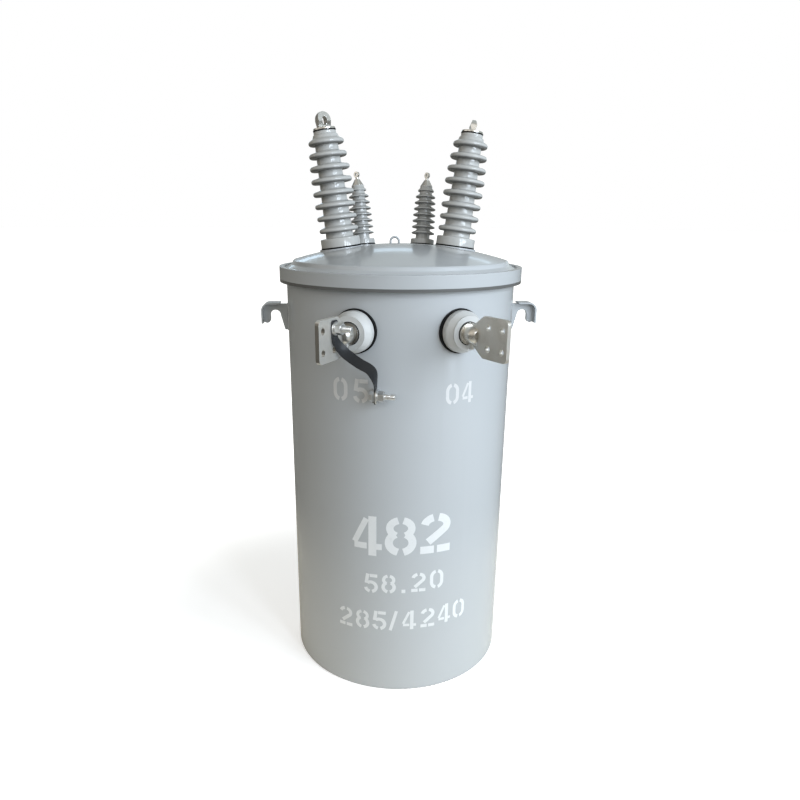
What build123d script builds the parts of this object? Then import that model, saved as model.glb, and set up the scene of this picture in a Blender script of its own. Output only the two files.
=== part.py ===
from build123d import *

import os
from math import asin, cos, degrees, radians, sin, sqrt

os.makedirs("parts", exist_ok=True)

# Pole-mounted distribution transformer, in millimetres. The origin is the centre of the tank's
# flat underside, +Z is up and the low-voltage terminals face -Y. Angles round the tank are
# measured from the front (-Y) and grow towards +X.

# ---------------------------------------------------------------- driving dimensions
# Clearances
seat_gap = 0.1  # of a piece that stands against a curved wall
fit_gap = 0.2  # between pieces that are clamped or screwed together
bolt_clear = 0.8  # of a bolt in its hole
hole_clear = 1.5  # of a bushing's spigot in its hole

# Tank
tank_r = 285.0
tank_wall = 4.0
tank_height = 1044.5  # top of the rolled rim
base_t = 6.0
base_round = 2.5
rim_width = 10.0  # the rim stands out from the wall
rim_depth = 21.3
rim_round = 4.0

# Core and coil inside the tank
core_depth = 180.0  # width of the wound strip
core_build = 52.0  # thickness of the wound strip
core_gap = 2.0  # between the two loops
window_w = 92.0
window_h = 260.0
window_round = 6.0
coil_clear = 6.0
coil_head = 14.0  # free height over the coil in the window

# Cover, its gasket and the clamp band
cover_t = 3.5
cover_overhang = 1.0
cover_gasket_t = 5.0
cover_gasket_width = 13.0
cover_gasket_inset = 1.0
dome_inset = 18.0  # the dome ends inside the tank's wall
shoulder_drop = 9.0
shoulder_run = 4.0
shoulder_round = 5.0
ledge_fall = 8.5
ledge_run = 14.0
dome_rise = 39.0
cover_turn = 5.5  # the cover is clamped a little turned on the tank
band_t = 3.0
band_clear = 4.0  # between the tank's rim and the inside of the band
band_round = 6.0
band_lip = 9.0
band_gap = 14.0
ear_t = 6.0
ear_reach = 30.0
ear_height = 28.0

# Small loop welded to the crown of the cover
loop_wire_r = 3.0
loop_inner_r = 8.0
loop_leg = 6.0
loop_back = 90.0
loop_foot_gap = 0.5

# High-voltage bushings
hv_ring_r = 148.5
hv_angle = 100.5
hv_lean_back = 1.45  # the seat leans less than the dome falls at its centre, by this angle
hv_collar_r = 49.0
hv_collar_h = 20.5
hv_core_bottom_r = 35.0
hv_core_top_r = 27.0
hv_sheds = (48.5, 49.3, 49.8, 50.0, 50.0, 48.5, 46.0, 43.0)
hv_first_shed = 43.5
hv_pitch = 28.8
hv_shed_edge = 7.0
hv_shed_fall = 11.0
hv_rim_round = 3.0
hv_root_round = 3.5
hv_head = 25.4  # from the last shed to the top of the porcelain
hv_spigot_r = 24.0
hv_seal_r = 27.5
hv_seal_t = 2.5
hv_cap_r = 26.5
hv_cap_t = 4.5
hv_cap_round = 1.5
hv_eye_w = 34.0
hv_eye_t = 17.0
hv_eye_base = 5.5
hv_eye_top = 11.0
hv_eye_edge_t = 8.0  # thickness at the top and foot of the eye
hv_eye_gap_w = 13.0
hv_eye_gaps = {"left": 19.5, "right": 9.0}  # the right-hand eye is screwed further down
hv_eye_turns = {"left": 38.0, "right": 70.0}

# Rear bushings
rear_ring_r = 143.7
rear_angle = 146.6
rear_lean_back = 0.35
rear_collar_r = 31.0
rear_collar_h = 12.0
rear_core_bottom_r = 19.0
rear_core_top_r = 16.0
rear_sheds = (30.7, 30.2, 29.8, 29.4, 28.6, 27.5, 25.8, 21.0)
rear_first_shed = 31.0
rear_pitch = 15.4
rear_shed_edge = 3.0
rear_shed_fall = 6.0
rear_rim_round = 1.3
rear_root_round = 1.6
rear_head = 12.2
rear_spigot_r = 14.0
rear_cone_h = 15.0
rear_tip_r = 7.0
rear_stud_r = 4.0
rear_stud_h = 6.0
rear_eye_r = 7.5
rear_eye_hole = 3.5
rear_eye_t = 6.0
rear_eye_overlap = 1.0  # of the eye and its stud
rear_eye_turns = {"left": 10.0, "right": 65.0}

# Seats of the bushings on the cover
boss_margin = 5.0
boss_rise = 1.0
boss_depth = 12.0
bushing_gasket_t = 3.5
gasket_margin = 1.0
spigot_depth = 40.0

# Low-voltage bushings and their four-hole pads
lv_angles = {"left": -24.1, "right": 23.5}
lv_drop = 111.5  # from the tank's rim to the axes
lv_gasket_t = 6.0  # at its thinnest
lv_gasket_margin = 3.3
lv_rim_r = 46.5
lv_rim_len = 15.0
lv_rim_round = 3.0
lv_cone_len = 14.0
lv_step_r = 38.0
lv_step_len = 4.0
lv_step_round = 2.0
lv_spigot_r = 32.0
lv_spigot_len = 42.0
lv_oring_r = 26.0
lv_oring_t = 3.0
lv_flange_r = 24.2
lv_flange_t = 5.0
lv_neck_r = 19.5
lv_neck_len = 18.0
lv_nose_r = 16.0  # rounding of the neck's end
lv_nose_turn = 65.0  # how far the rounding turns inwards
pad_swing = 4.5  # the pads are set a little outwards on their necks
pad_first = 49.5  # from the neck's end to the inner holes
pad_pitch = 44.45
pad_edge = 22.3  # above and below the holes
pad_tip_edge = 15.9  # beyond the outer holes
pad_root = 4.0  # overlap with the neck
pad_t = 9.0
pad_round = 10.5
screw_r = 6.5
screw_len = 13.0
screw_inset = 0.8

# Lifting lugs
lug_t = 12.0
lug_drop = 79.5  # from the tank's rim to the top of the arm
lug_reach = 63.0
lug_prong_w = 18.0
lug_prong_drop = 52.0  # the following three are measured down from the top of the arm
lug_foot_drop = 69.0
lug_arch_drop = 19.0
lug_corner = 16.0
lug_leg_foot = 9.0
lug_notch_w = 26.0
lug_strip_t = 4.0  # flat bar over the edge of the hook
lug_strip_w = 42.0
lug_strip_from = 20.0  # where the bar begins, off the tank's wall

# Rear support lugs
support_pitch = 590.55
support_drop = 139.5  # from the tank's rim to the top of the upper bolt in its slot
support_reach = 57.0
support_w = 102.0
support_t = 8.0
support_above = 38.0
support_below = 62.0
support_slot = 21.0

# Half-inch fasteners, ground tab and strap
bolt_r = 6.35
bolt_len = 50.8
bolt_tip = 1.0  # chamfer of the threaded end
nut_wall = 4.75  # metal between the thread and the flats
nut_t = 12.3
head_t = 8.0
crown_angle = 60.0  # of the cone that rounds off heads and nuts
washer_t = 2.8
lock_width = 4.4  # of the metal of a spring washer
lock_t = 3.2
strap_washer_r = 14.0
tab_washer_r = 17.5
thread_end = 6.35  # band bolt standing out of its nut
tab_angle = -14.1
tab_drop = 251.0  # from the tank's rim to the tab's bolt
tab_t = 5.0
tab_reach = 32.0
tab_height = 28.0
tab_round = 6.0
tab_bolt_reach = 22.0
strap_w = 23.0
strap_t = 2.5
strap_end = 18.0  # flat length before a bolt
strap_tail = 17.0  # and beyond it
strap_round = 5.0
strap_turns = (  # shares of the way across, inwards and down
    (0.05, 0.02, 0.10),
    (0.29, 0.18, 0.31),
    (0.45, 0.31, 0.41),
    (0.63, 0.46, 0.51),
    (0.81, 0.64, 0.60),
    (0.935, 0.82, 0.72),
    (0.99, 0.955, 0.86),
)
strap_stations = 25
strap_twist = 2.35  # the strap has turned to the front at 1 / 2.35 of its length from each end

# ---------------------------------------------------------------- derived sizes
up = Vector(0, 0, 1)
inner_r = tank_r - tank_wall
rim_r = tank_r + rim_width
rim_bottom = tank_height - rim_depth
shoulder_r = tank_r - dome_inset  # where the dome ends
ledge_r = shoulder_r + shoulder_run
rim_inner_r = ledge_r + ledge_run
cover_rim_r = rim_r + cover_overhang
rim_top = tank_height + cover_gasket_t + cover_t  # flat clamped edge of the cover
ledge_top = rim_top + ledge_fall
dome_edge = ledge_top + shoulder_drop
apex = dome_edge + dome_rise
dome_sphere_r = (shoulder_r**2 + dome_rise**2) / (2 * dome_rise)
hv_height = hv_first_shed + (len(hv_sheds) - 1) * hv_pitch + hv_head
hv_cap_bottom = hv_height + hv_seal_t
hv_cap_top = hv_cap_bottom + hv_cap_t
rear_height = rear_first_shed + (len(rear_sheds) - 1) * rear_pitch + rear_head
rear_tip = rear_height + rear_cone_h
rear_eye_z = rear_tip + rear_stud_h + rear_eye_r - rear_eye_overlap
lv_z = tank_height - lv_drop
lv_back = tank_r + lv_gasket_t
lv_front = lv_back + lv_rim_len + lv_cone_len + lv_step_len
lv_flange_end = lv_front + lv_flange_t
neck_end = lv_flange_end + lv_neck_len
pad_hole_r = bolt_r + bolt_clear
support_face = tank_r + support_reach
support_levels = {"upper": tank_height - support_drop, "lower": tank_height - support_drop - support_pitch}
nut_r = bolt_r + nut_wall  # to the flats
tab_z = tank_height - tab_drop
tab_bolt_at = tank_r + tab_bolt_reach


# ---------------------------------------------------------------- frames and shared forms
def outward(angle):
    """Level direction away from the tank's axis."""
    return Vector(sin(radians(angle)), -cos(radians(angle)), 0)


def sideways(angle):
    """Level direction along the tank's wall, towards growing angles."""
    return Vector(cos(radians(angle)), sin(radians(angle)), 0)


def side_plane(angle, height=0.0, offset=0.0):
    """Upright plane through the tank's axis: x runs outward and y up."""
    origin = up * height + sideways(angle) * offset
    return Plane(origin=origin, x_dir=outward(angle), z_dir=-sideways(angle))


def facing_plane(angle, height, reach):
    """Upright plane that faces away from the tank: x runs sideways and y up."""
    origin = up * height + outward(angle) * reach
    return Plane(origin=origin, x_dir=sideways(angle), z_dir=outward(angle))


def dome_height(radius):
    """Height of the cover's outer face at a distance from its axis."""
    return apex - dome_sphere_r + sqrt(dome_sphere_r**2 - radius**2)


def seat_plane(angle, ring_r, lean_back):
    """Flat seat of a bushing on the cover: z leans outward, x runs down the slope."""
    out = outward(angle + cover_turn)
    lean = degrees(asin(ring_r / dome_sphere_r)) - lean_back
    origin = out * ring_r + up * (dome_height(ring_r) + boss_rise)
    across = out * cos(radians(lean)) - up * sin(radians(lean))
    axis = up * cos(radians(lean)) + out * sin(radians(lean))
    return Plane(origin=origin, x_dir=across, z_dir=axis)


def upright_of(seat, turn=0.0):
    """Plane through the axis of a seat, turned about it: y is the axis."""
    x_dir = seat.x_dir * cos(radians(turn)) + seat.y_dir * sin(radians(turn))
    return Plane(origin=seat.origin, x_dir=x_dir, z_dir=x_dir.cross(seat.z_dir))


sides = {"left": -1, "right": 1}
hv_seats = {side: seat_plane(sign * hv_angle, hv_ring_r, hv_lean_back) for side, sign in sides.items()}
rear_seats = {
    side: seat_plane(sign * rear_angle, rear_ring_r, rear_lean_back) for side, sign in sides.items()
}
pad_angles = {side: lv_angles[side] + sign * pad_swing for side, sign in sides.items()}


def pad_plane(side, offset=0.0):
    """Middle plane of a terminal pad, from the end of its neck: x runs to the tip and y up."""
    angle = pad_angles[side]
    origin = outward(lv_angles[side]) * neck_end + up * lv_z + sideways(angle) * offset
    return Plane(origin=origin, x_dir=outward(angle), z_dir=-sideways(angle))


# ---------------------------------------------------------------- tank
with BuildPart() as tank_base:
    with BuildSketch(Plane.XY):
        Circle(tank_r)
    extrude(amount=base_t)
    fillet(tank_base.edges().group_by(Axis.Z)[0], base_round)
tank_base.part.label = "tank_base"
export_step(tank_base.part, "parts/tank_base.step")

with BuildPart() as tank_shell:
    with BuildSketch(Plane.XZ) as shell_profile:
        with BuildLine():
            Polyline(
                (inner_r, base_t),
                (tank_r, base_t),
                (tank_r, rim_bottom),
                (rim_r, rim_bottom),
                (rim_r, tank_height),
                (inner_r, tank_height),
                close=True,
            )
        make_face()
        fillet(shell_profile.vertices().group_by(Axis.X)[-1], rim_round)
    revolve(axis=Axis.Z)
    for angle in lv_angles.values():
        with BuildSketch(facing_plane(angle, lv_z, inner_r - tank_wall)):
            Circle(lv_spigot_r + hole_clear)
        extrude(amount=4 * tank_wall, mode=Mode.SUBTRACT)
tank_shell.part.label = "tank_shell"
export_step(tank_shell.part, "parts/tank_shell.step")

# ---------------------------------------------------------------- core and coil
loop_w = window_w + 2 * core_build
loop_h = window_h + 2 * core_build
loop_x = (loop_w + core_gap) / 2
with BuildPart() as core:
    with BuildSketch(Plane.XZ):
        with Locations((-loop_x, base_t + loop_h / 2), (loop_x, base_t + loop_h / 2)):
            RectangleRounded(loop_w, loop_h, core_build)
            RectangleRounded(window_w, window_h, window_round, mode=Mode.SUBTRACT)
    extrude(amount=core_depth / 2, both=True)
core.part.label = "core"
export_step(core.part, "parts/core.step")

coil_bottom = base_t + core_build
coil_top = coil_bottom + window_h - coil_head
coil_hole_w = 2 * core_build + core_gap + 2 * coil_clear
coil_hole_d = core_depth + 2 * coil_clear
coil_build = window_w - 2 * coil_clear
with BuildPart() as coil:
    with BuildSketch(Plane.XY.offset(coil_bottom)):
        RectangleRounded(coil_hole_w + 2 * coil_build, coil_hole_d + 2 * coil_build, coil_build)
        RectangleRounded(coil_hole_w, coil_hole_d, coil_clear, mode=Mode.SUBTRACT)
    extrude(amount=coil_top - coil_bottom)
coil.part.label = "coil"
export_step(coil.part, "parts/coil.step")

# ---------------------------------------------------------------- cover, gasket and band
gasket_r = rim_r - cover_gasket_inset
with BuildPart() as cover_gasket:
    with BuildSketch(Plane.XY.offset(tank_height)):
        Circle(gasket_r)
        Circle(gasket_r - cover_gasket_width, mode=Mode.SUBTRACT)
    extrude(amount=cover_gasket_t)
cover_gasket.part.label = "cover_gasket"
export_step(cover_gasket.part, "parts/cover_gasket.step")

all_seats = [(seat, hv_collar_r, hv_spigot_r) for seat in hv_seats.values()]
all_seats += [(seat, rear_collar_r, rear_spigot_r) for seat in rear_seats.values()]
with BuildPart() as cover:
    with BuildSketch(Plane.XZ) as cover_profile:
        with BuildLine():
            crown = Vector(0, apex)
            dome_end = Vector(shoulder_r, dome_edge)
            RadiusArc(crown, dome_end, dome_sphere_r)
            Polyline(
                dome_end,
                (ledge_r, ledge_top),
                (rim_inner_r, rim_top),
                (cover_rim_r, rim_top),
                (cover_rim_r, rim_top - cover_t),
                (0, rim_top - cover_t),
                crown,
            )
        make_face()
        fillet(cover_profile.vertices().sort_by_distance((shoulder_r, dome_edge))[0], shoulder_round)
        fillet(cover_profile.vertices().sort_by_distance((ledge_r, ledge_top))[0], shoulder_round)
    revolve(axis=Axis.Z)
    for seat, collar_r, spigot_r in all_seats:
        with BuildSketch(seat):
            Circle(collar_r + boss_margin)
        extrude(amount=-boss_depth)
    with BuildSketch(Plane.XZ):
        with BuildLine():
            hollow_top = Vector(0, apex - cover_t)
            hollow_edge = Vector(shoulder_r - cover_t / 2, dome_edge - cover_t)
            RadiusArc(hollow_top, hollow_edge, dome_sphere_r - cover_t)
            Polyline(
                hollow_edge,
                (ledge_r - cover_t, ledge_top - cover_t),
                (rim_inner_r - cover_t, rim_top - cover_t),
                (0, rim_top - cover_t),
                hollow_top,
            )
        make_face()
    revolve(axis=Axis.Z, mode=Mode.SUBTRACT)
    for seat, collar_r, spigot_r in all_seats:
        with BuildSketch(seat):
            Circle(spigot_r + hole_clear)
        extrude(amount=boss_depth, both=True, mode=Mode.SUBTRACT)
cover.part.label = "cover"
export_step(cover.part, "parts/cover.step")

band_top = rim_top + fit_gap + band_t
band_bottom = rim_bottom - fit_gap - band_t
band_inner_r = rim_r + band_clear
band_r = band_inner_r + band_t
band_lip_r = band_inner_r - band_lip
band_middle = (band_top + band_bottom) / 2
ear_x = band_gap / 2
ear_bolt_y = band_r + ear_reach / 2
with BuildPart() as cover_band:
    with BuildSketch(Plane.XZ) as band_profile:
        with BuildLine():
            Polyline(
                (band_lip_r, band_bottom),
                (band_r, band_bottom),
                (band_r, band_top),
                (band_lip_r, band_top),
                (band_lip_r, band_top - band_t),
                (band_inner_r, band_top - band_t),
                (band_inner_r, band_bottom + band_t),
                (band_lip_r, band_bottom + band_t),
                close=True,
            )
        make_face()
        inner_corners = band_profile.vertices().group_by(Axis.X)[1]
        outer_corners = band_profile.vertices().group_by(Axis.X)[2]
        fillet(inner_corners, band_round - band_t)
        fillet(outer_corners, band_round)
    revolve(axis=Axis.Z)
    with BuildSketch(Plane.XY.offset(band_middle)):
        with Locations((0, band_r)):
            Rectangle(band_gap, 2 * ear_reach)
    extrude(amount=band_top, both=True, mode=Mode.SUBTRACT)
    for sign in sides.values():
        with BuildSketch(Plane.YZ.offset(sign * (ear_x + ear_t / 2))) as ear:
            with Locations((ear_bolt_y - band_t / 2, band_middle)):
                Rectangle(ear_reach + band_t, ear_height)
            fillet(ear.vertices().group_by(Axis.X)[-1], band_round)
            with Locations((ear_bolt_y, band_middle)):
                Circle(bolt_r + bolt_clear, mode=Mode.SUBTRACT)
        extrude(amount=ear_t / 2, both=True)
cover_band.part.label = "cover_band"
export_step(cover_band.part, "parts/cover_band.step")


def crown_cone(outer_face, thickness):
    """Cone that rounds off the corners of a head or nut, with its small end on the outer face."""
    with BuildPart() as cone:
        with BuildSketch(Plane(origin=outer_face.origin, z_dir=-outer_face.z_dir)):
            Circle(nut_r)
        extrude(amount=thickness, taper=-crown_angle)
    return cone.part


def hex_bolt(face, length):
    """Bolt with its head under the face and a shank of the given length above it."""
    axis = Axis(face.origin, face.z_dir)
    with BuildPart() as bolt:
        with BuildSketch(face):
            RegularPolygon(nut_r, 6, major_radius=False)
        extrude(amount=-head_t)
        head_face = Plane(origin=face.offset(-head_t).origin, z_dir=-face.z_dir)
        add(crown_cone(head_face, head_t), mode=Mode.INTERSECT)
        with BuildSketch(face):
            Circle(bolt_r)
        extrude(amount=length)
        chamfer(bolt.edges().sort_by(axis)[-1], bolt_tip)
    return bolt


def hex_nut(face, washer_r=0.0):
    """Nut standing on the face, on a flat and a spring washer where a radius is given."""
    lift = washer_t + lock_t if washer_r else 0.0
    with BuildPart() as nut:
        with BuildSketch(face.offset(lift)):
            RegularPolygon(nut_r, 6, major_radius=False)
        extrude(amount=nut_t)
        add(crown_cone(face.offset(lift + nut_t), nut_t), mode=Mode.INTERSECT)
        if washer_r:
            with BuildSketch(face.offset(washer_t)):
                Circle(bolt_r + lock_width)
            extrude(amount=lock_t)
            with BuildSketch(face):
                Circle(washer_r)
            extrude(amount=washer_t)
        with BuildSketch(face):
            Circle(bolt_r + fit_gap)
        extrude(amount=lift + nut_t, mode=Mode.SUBTRACT)
    return nut


ear_face = Plane(origin=(-ear_x - ear_t, ear_bolt_y, band_middle), x_dir=(0, 1, 0), z_dir=(1, 0, 0))
ear_grip = band_gap + 2 * ear_t
band_bolt = hex_bolt(ear_face, ear_grip + nut_t + thread_end)
band_bolt.part.label = "band_bolt"
export_step(band_bolt.part, "parts/band_bolt.step")

band_nut = hex_nut(ear_face.offset(ear_grip))
band_nut.part.label = "band_nut"
export_step(band_nut.part, "parts/band_nut.step")

loop_out = outward(180 + cover_turn)
loop_foot = up * dome_height(loop_back) + loop_out * loop_back
loop_plane = Plane(origin=loop_foot, x_dir=sideways(cover_turn), z_dir=-loop_out)
loop_r = loop_inner_r + loop_wire_r
with BuildPart() as crown_loop:
    with BuildLine(loop_plane) as loop_path:
        Line((-loop_r, loop_foot_gap), (-loop_r, loop_leg))
        ThreePointArc((-loop_r, loop_leg), (0, loop_leg + loop_r), (loop_r, loop_leg))
        Line((loop_r, loop_leg), (loop_r, loop_foot_gap))
    with BuildSketch(Plane(origin=loop_path.line @ 0, z_dir=loop_path.line % 0)):
        Circle(loop_wire_r)
    sweep()
crown_loop.part.label = "crown_loop"
export_step(crown_loop.part, "parts/crown_loop.step")


# ---------------------------------------------------------------- bushings on the cover
def ribbed_bushing(seat, collar, spigot_r, core_radii, sheds, levels, edge, fall, rounds, height):
    """Porcelain body turned about its seat: spigot, collar, tapered core and rain sheds."""
    bottom = bushing_gasket_t
    collar_r, collar_h = collar
    core_bottom_r, core_top_r = core_radii
    rim_round, root_round = rounds
    first, pitch = levels

    def core_r(level):
        share = (level - bottom) / (height - bottom)
        return core_bottom_r + share * (core_top_r - core_bottom_r)

    collar_top = bottom + collar_h
    outline = [(0, -spigot_depth), (spigot_r, -spigot_depth), (spigot_r, bottom)]
    outline += [(collar_r, bottom), (collar_r, collar_top), (core_r(collar_top), collar_top)]
    for number, radius in enumerate(sheds):
        under = first + number * pitch - edge / 2
        over = under + edge
        outline += [(core_r(under), under), (radius, under), (radius, over)]
        outline += [(core_r(over + fall), over + fall)]
    outline += [(core_top_r, height), (0, height)]
    with BuildPart() as bushing:
        with BuildSketch(upright_of(seat)) as profile:
            with BuildLine():
                Polyline(*outline, close=True)
            make_face()
            corners = profile.vertices().filter_by(lambda corner: collar_top / 2 < corner.Y < height)
            rims = corners.filter_by(lambda corner: corner.X > core_r(corner.Y) + edge / 2)
            roots = corners.filter_by(lambda corner: corner.X <= core_r(corner.Y) + edge / 2)
            fillet(rims, rim_round)
            fillet(roots, root_round)
        revolve(axis=Axis(seat.origin, seat.z_dir))
    return bushing


def flat_ring(seat, outer_r, hole_r, thickness):
    """Flat ring that lies on a seat."""
    with BuildPart() as ring:
        with BuildSketch(seat):
            Circle(outer_r)
            Circle(hole_r, mode=Mode.SUBTRACT)
        extrude(amount=thickness)
    return ring


for side in sides:
    seat = hv_seats[side]
    hv_gasket = flat_ring(seat, hv_collar_r + gasket_margin, hv_spigot_r + hole_clear, bushing_gasket_t)
    hv_gasket.part.label = f"hv_gasket_{side}"
    export_step(hv_gasket.part, f"parts/hv_gasket_{side}.step")

    hv_bushing = ribbed_bushing(
        seat,
        (hv_collar_r, hv_collar_h),
        hv_spigot_r,
        (hv_core_bottom_r, hv_core_top_r),
        hv_sheds,
        (hv_first_shed, hv_pitch),
        hv_shed_edge,
        hv_shed_fall,
        (hv_rim_round, hv_root_round),
        hv_height,
    )
    hv_bushing.part.label = f"hv_bushing_{side}"
    export_step(hv_bushing.part, f"parts/hv_bushing_{side}.step")

    with BuildPart() as hv_seal:
        with BuildSketch(seat.offset(hv_height)):
            Circle(hv_seal_r)
        extrude(amount=hv_seal_t)
    hv_seal.part.label = f"hv_seal_{side}"
    export_step(hv_seal.part, f"parts/hv_seal_{side}.step")

    with BuildPart() as hv_cap:
        with BuildSketch(seat.offset(hv_cap_bottom)):
            Circle(hv_cap_r)
        extrude(amount=hv_cap_t)
        fillet(hv_cap.edges().sort_by(Axis(seat.origin, seat.z_dir))[-1], hv_cap_round)
    hv_cap.part.label = f"hv_cap_{side}"
    export_step(hv_cap.part, f"parts/hv_cap_{side}.step")

    gap_h = hv_eye_gaps[side]
    eye_top = hv_eye_base + gap_h + hv_eye_top
    eye_middle = hv_eye_base + gap_h / 2
    eye_plane = upright_of(seat.offset(hv_cap_top), hv_eye_turns[side])
    with BuildPart() as hv_connector:
        with BuildSketch(eye_plane):
            with BuildLine():
                half_w = hv_eye_w / 2
                Polyline((-half_w, eye_middle), (-half_w, 0), (half_w, 0), (half_w, eye_middle))
                ThreePointArc((half_w, eye_middle), (0, eye_top), (-half_w, eye_middle))
            make_face()
            with Locations((0, eye_middle)):
                Ellipse(hv_eye_gap_w / 2, gap_h / 2, mode=Mode.SUBTRACT)
        extrude(amount=hv_eye_t / 2, both=True)
        with BuildSketch(upright_of(seat.offset(hv_cap_top), hv_eye_turns[side] + 90)):
            with BuildLine():
                Polyline(
                    (-hv_eye_edge_t / 2, 0),
                    (hv_eye_edge_t / 2, 0),
                    (hv_eye_t / 2, eye_middle),
                    (hv_eye_edge_t / 2, eye_top),
                    (-hv_eye_edge_t / 2, eye_top),
                    (-hv_eye_t / 2, eye_middle),
                    close=True,
                )
            make_face()
        extrude(amount=hv_eye_w / 2, both=True, mode=Mode.INTERSECT)
    hv_connector.part.label = f"hv_connector_{side}"
    export_step(hv_connector.part, f"parts/hv_connector_{side}.step")

    seat = rear_seats[side]
    rear_gasket = flat_ring(seat, rear_collar_r + gasket_margin, rear_spigot_r + hole_clear, bushing_gasket_t)
    rear_gasket.part.label = f"rear_gasket_{side}"
    export_step(rear_gasket.part, f"parts/rear_gasket_{side}.step")

    rear_bushing = ribbed_bushing(
        seat,
        (rear_collar_r, rear_collar_h),
        rear_spigot_r,
        (rear_core_bottom_r, rear_core_top_r),
        rear_sheds,
        (rear_first_shed, rear_pitch),
        rear_shed_edge,
        rear_shed_fall,
        (rear_rim_round, rear_root_round),
        rear_height,
    )
    rear_bushing.part.label = f"rear_bushing_{side}"
    export_step(rear_bushing.part, f"parts/rear_bushing_{side}.step")

    with BuildPart() as rear_terminal:
        with BuildSketch(upright_of(seat)):
            with BuildLine():
                Polyline(
                    (0, rear_height),
                    (rear_core_top_r, rear_height),
                    (rear_tip_r, rear_tip),
                    (rear_stud_r, rear_tip),
                    (rear_stud_r, rear_tip + rear_stud_h),
                    (0, rear_tip + rear_stud_h),
                    close=True,
                )
            make_face()
        revolve(axis=Axis(seat.origin, seat.z_dir))
        with BuildSketch(upright_of(seat, rear_eye_turns[side])):
            with Locations((0, rear_eye_z)):
                Circle(rear_eye_r)
                Circle(rear_eye_hole, mode=Mode.SUBTRACT)
        extrude(amount=rear_eye_t / 2, both=True)
    rear_terminal.part.label = f"rear_terminal_{side}"
    export_step(rear_terminal.part, f"parts/rear_terminal_{side}.step")

# ---------------------------------------------------------------- low-voltage bushings
pad_tip = pad_first + pad_pitch + pad_tip_edge
pad_shoulder = pad_first - pad_tip_edge
pad_half = pad_pitch / 2 + pad_edge
for side, angle in lv_angles.items():
    centre = side_plane(angle, lv_z)
    axis = Axis(centre.origin, centre.x_dir)
    with BuildPart() as lv_gasket:
        with BuildSketch(facing_plane(angle, lv_z, inner_r)):
            Circle(lv_rim_r + lv_gasket_margin)
            Circle(lv_spigot_r + hole_clear, mode=Mode.SUBTRACT)
        extrude(amount=lv_back - inner_r)
        with BuildSketch(Plane.XY):
            Circle(tank_r + seat_gap)
        extrude(amount=tank_height, mode=Mode.SUBTRACT)
    lv_gasket.part.label = f"lv_gasket_{side}"
    export_step(lv_gasket.part, f"parts/lv_gasket_{side}.step")

    with BuildPart() as lv_insulator:
        with BuildSketch(centre) as insulator_profile:
            with BuildLine():
                Polyline(
                    (lv_back - lv_spigot_len, 0),
                    (lv_back - lv_spigot_len, lv_spigot_r),
                    (lv_back, lv_spigot_r),
                    (lv_back, lv_rim_r),
                    (lv_back + lv_rim_len, lv_rim_r),
                    (lv_front - lv_step_len, lv_step_r),
                    (lv_front, lv_step_r),
                    (lv_front, lv_oring_r),
                    (lv_front - lv_oring_t, lv_oring_r),
                    (lv_front - lv_oring_t, 0),
                    close=True,
                )
            make_face()
            rim_corner = insulator_profile.vertices().sort_by_distance((lv_back + lv_rim_len, lv_rim_r))[0]
            step_corner = insulator_profile.vertices().sort_by_distance((lv_front, lv_step_r))[0]
            fillet(rim_corner, lv_rim_round)
            fillet(step_corner, lv_step_round)
        revolve(axis=axis)
    lv_insulator.part.label = f"lv_insulator_{side}"
    export_step(lv_insulator.part, f"parts/lv_insulator_{side}.step")

    oring_seat = facing_plane(angle, lv_z, lv_front - lv_oring_t)
    lv_oring = flat_ring(oring_seat, lv_oring_r - fit_gap, lv_neck_r + fit_gap, lv_oring_t)
    lv_oring.part.label = f"lv_oring_{side}"
    export_step(lv_oring.part, f"parts/lv_oring_{side}.step")

    with BuildPart() as lv_terminal:
        with BuildSketch(centre):
            with BuildLine() as neck_line:
                Polyline(
                    (lv_front - lv_oring_t, 0),
                    (lv_front - lv_oring_t, lv_neck_r),
                    (lv_front, lv_neck_r),
                    (lv_front, lv_flange_r),
                    (lv_flange_end, lv_flange_r),
                    (lv_flange_end, lv_neck_r),
                    (neck_end, lv_neck_r),
                )
                nose = JernArc((neck_end, lv_neck_r), (1, 0), lv_nose_r, -lv_nose_turn)
                nose_end = nose @ 1
                Polyline(nose_end, (nose_end.X, 0), (lv_front - lv_oring_t, 0))
            make_face()
        revolve(axis=axis)
        with BuildSketch(pad_plane(side)) as pad_outline:
            with BuildLine():
                Polyline(
                    (-pad_root, -lv_neck_r),
                    (pad_shoulder, -pad_half),
                    (pad_tip, -pad_half),
                    (pad_tip, pad_half),
                    (pad_shoulder, pad_half),
                    (-pad_root, lv_neck_r),
                    close=True,
                )
            make_face()
            fillet(pad_outline.vertices().group_by(Axis.X)[-1], pad_round)
            with Locations((pad_first + pad_pitch / 2, 0)):
                with GridLocations(pad_pitch, pad_pitch, 2, 2):
                    Circle(pad_hole_r, mode=Mode.SUBTRACT)
        extrude(amount=pad_t / 2, both=True)
    lv_terminal.part.label = f"lv_terminal_{side}"
    export_step(lv_terminal.part, f"parts/lv_terminal_{side}.step")

with BuildPart() as lv_screws:
    for angle in lv_angles.values():
        screw_at = outward(angle) * (lv_flange_end + screw_r + screw_inset) + up * (lv_z - lv_neck_r)
        with BuildSketch(Plane(origin=screw_at, z_dir=-up)):
            Circle(screw_r)
    extrude(amount=screw_len)
lv_screws.part.label = "lv_screws"
export_step(lv_screws.part, "parts/lv_screws.step")

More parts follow.
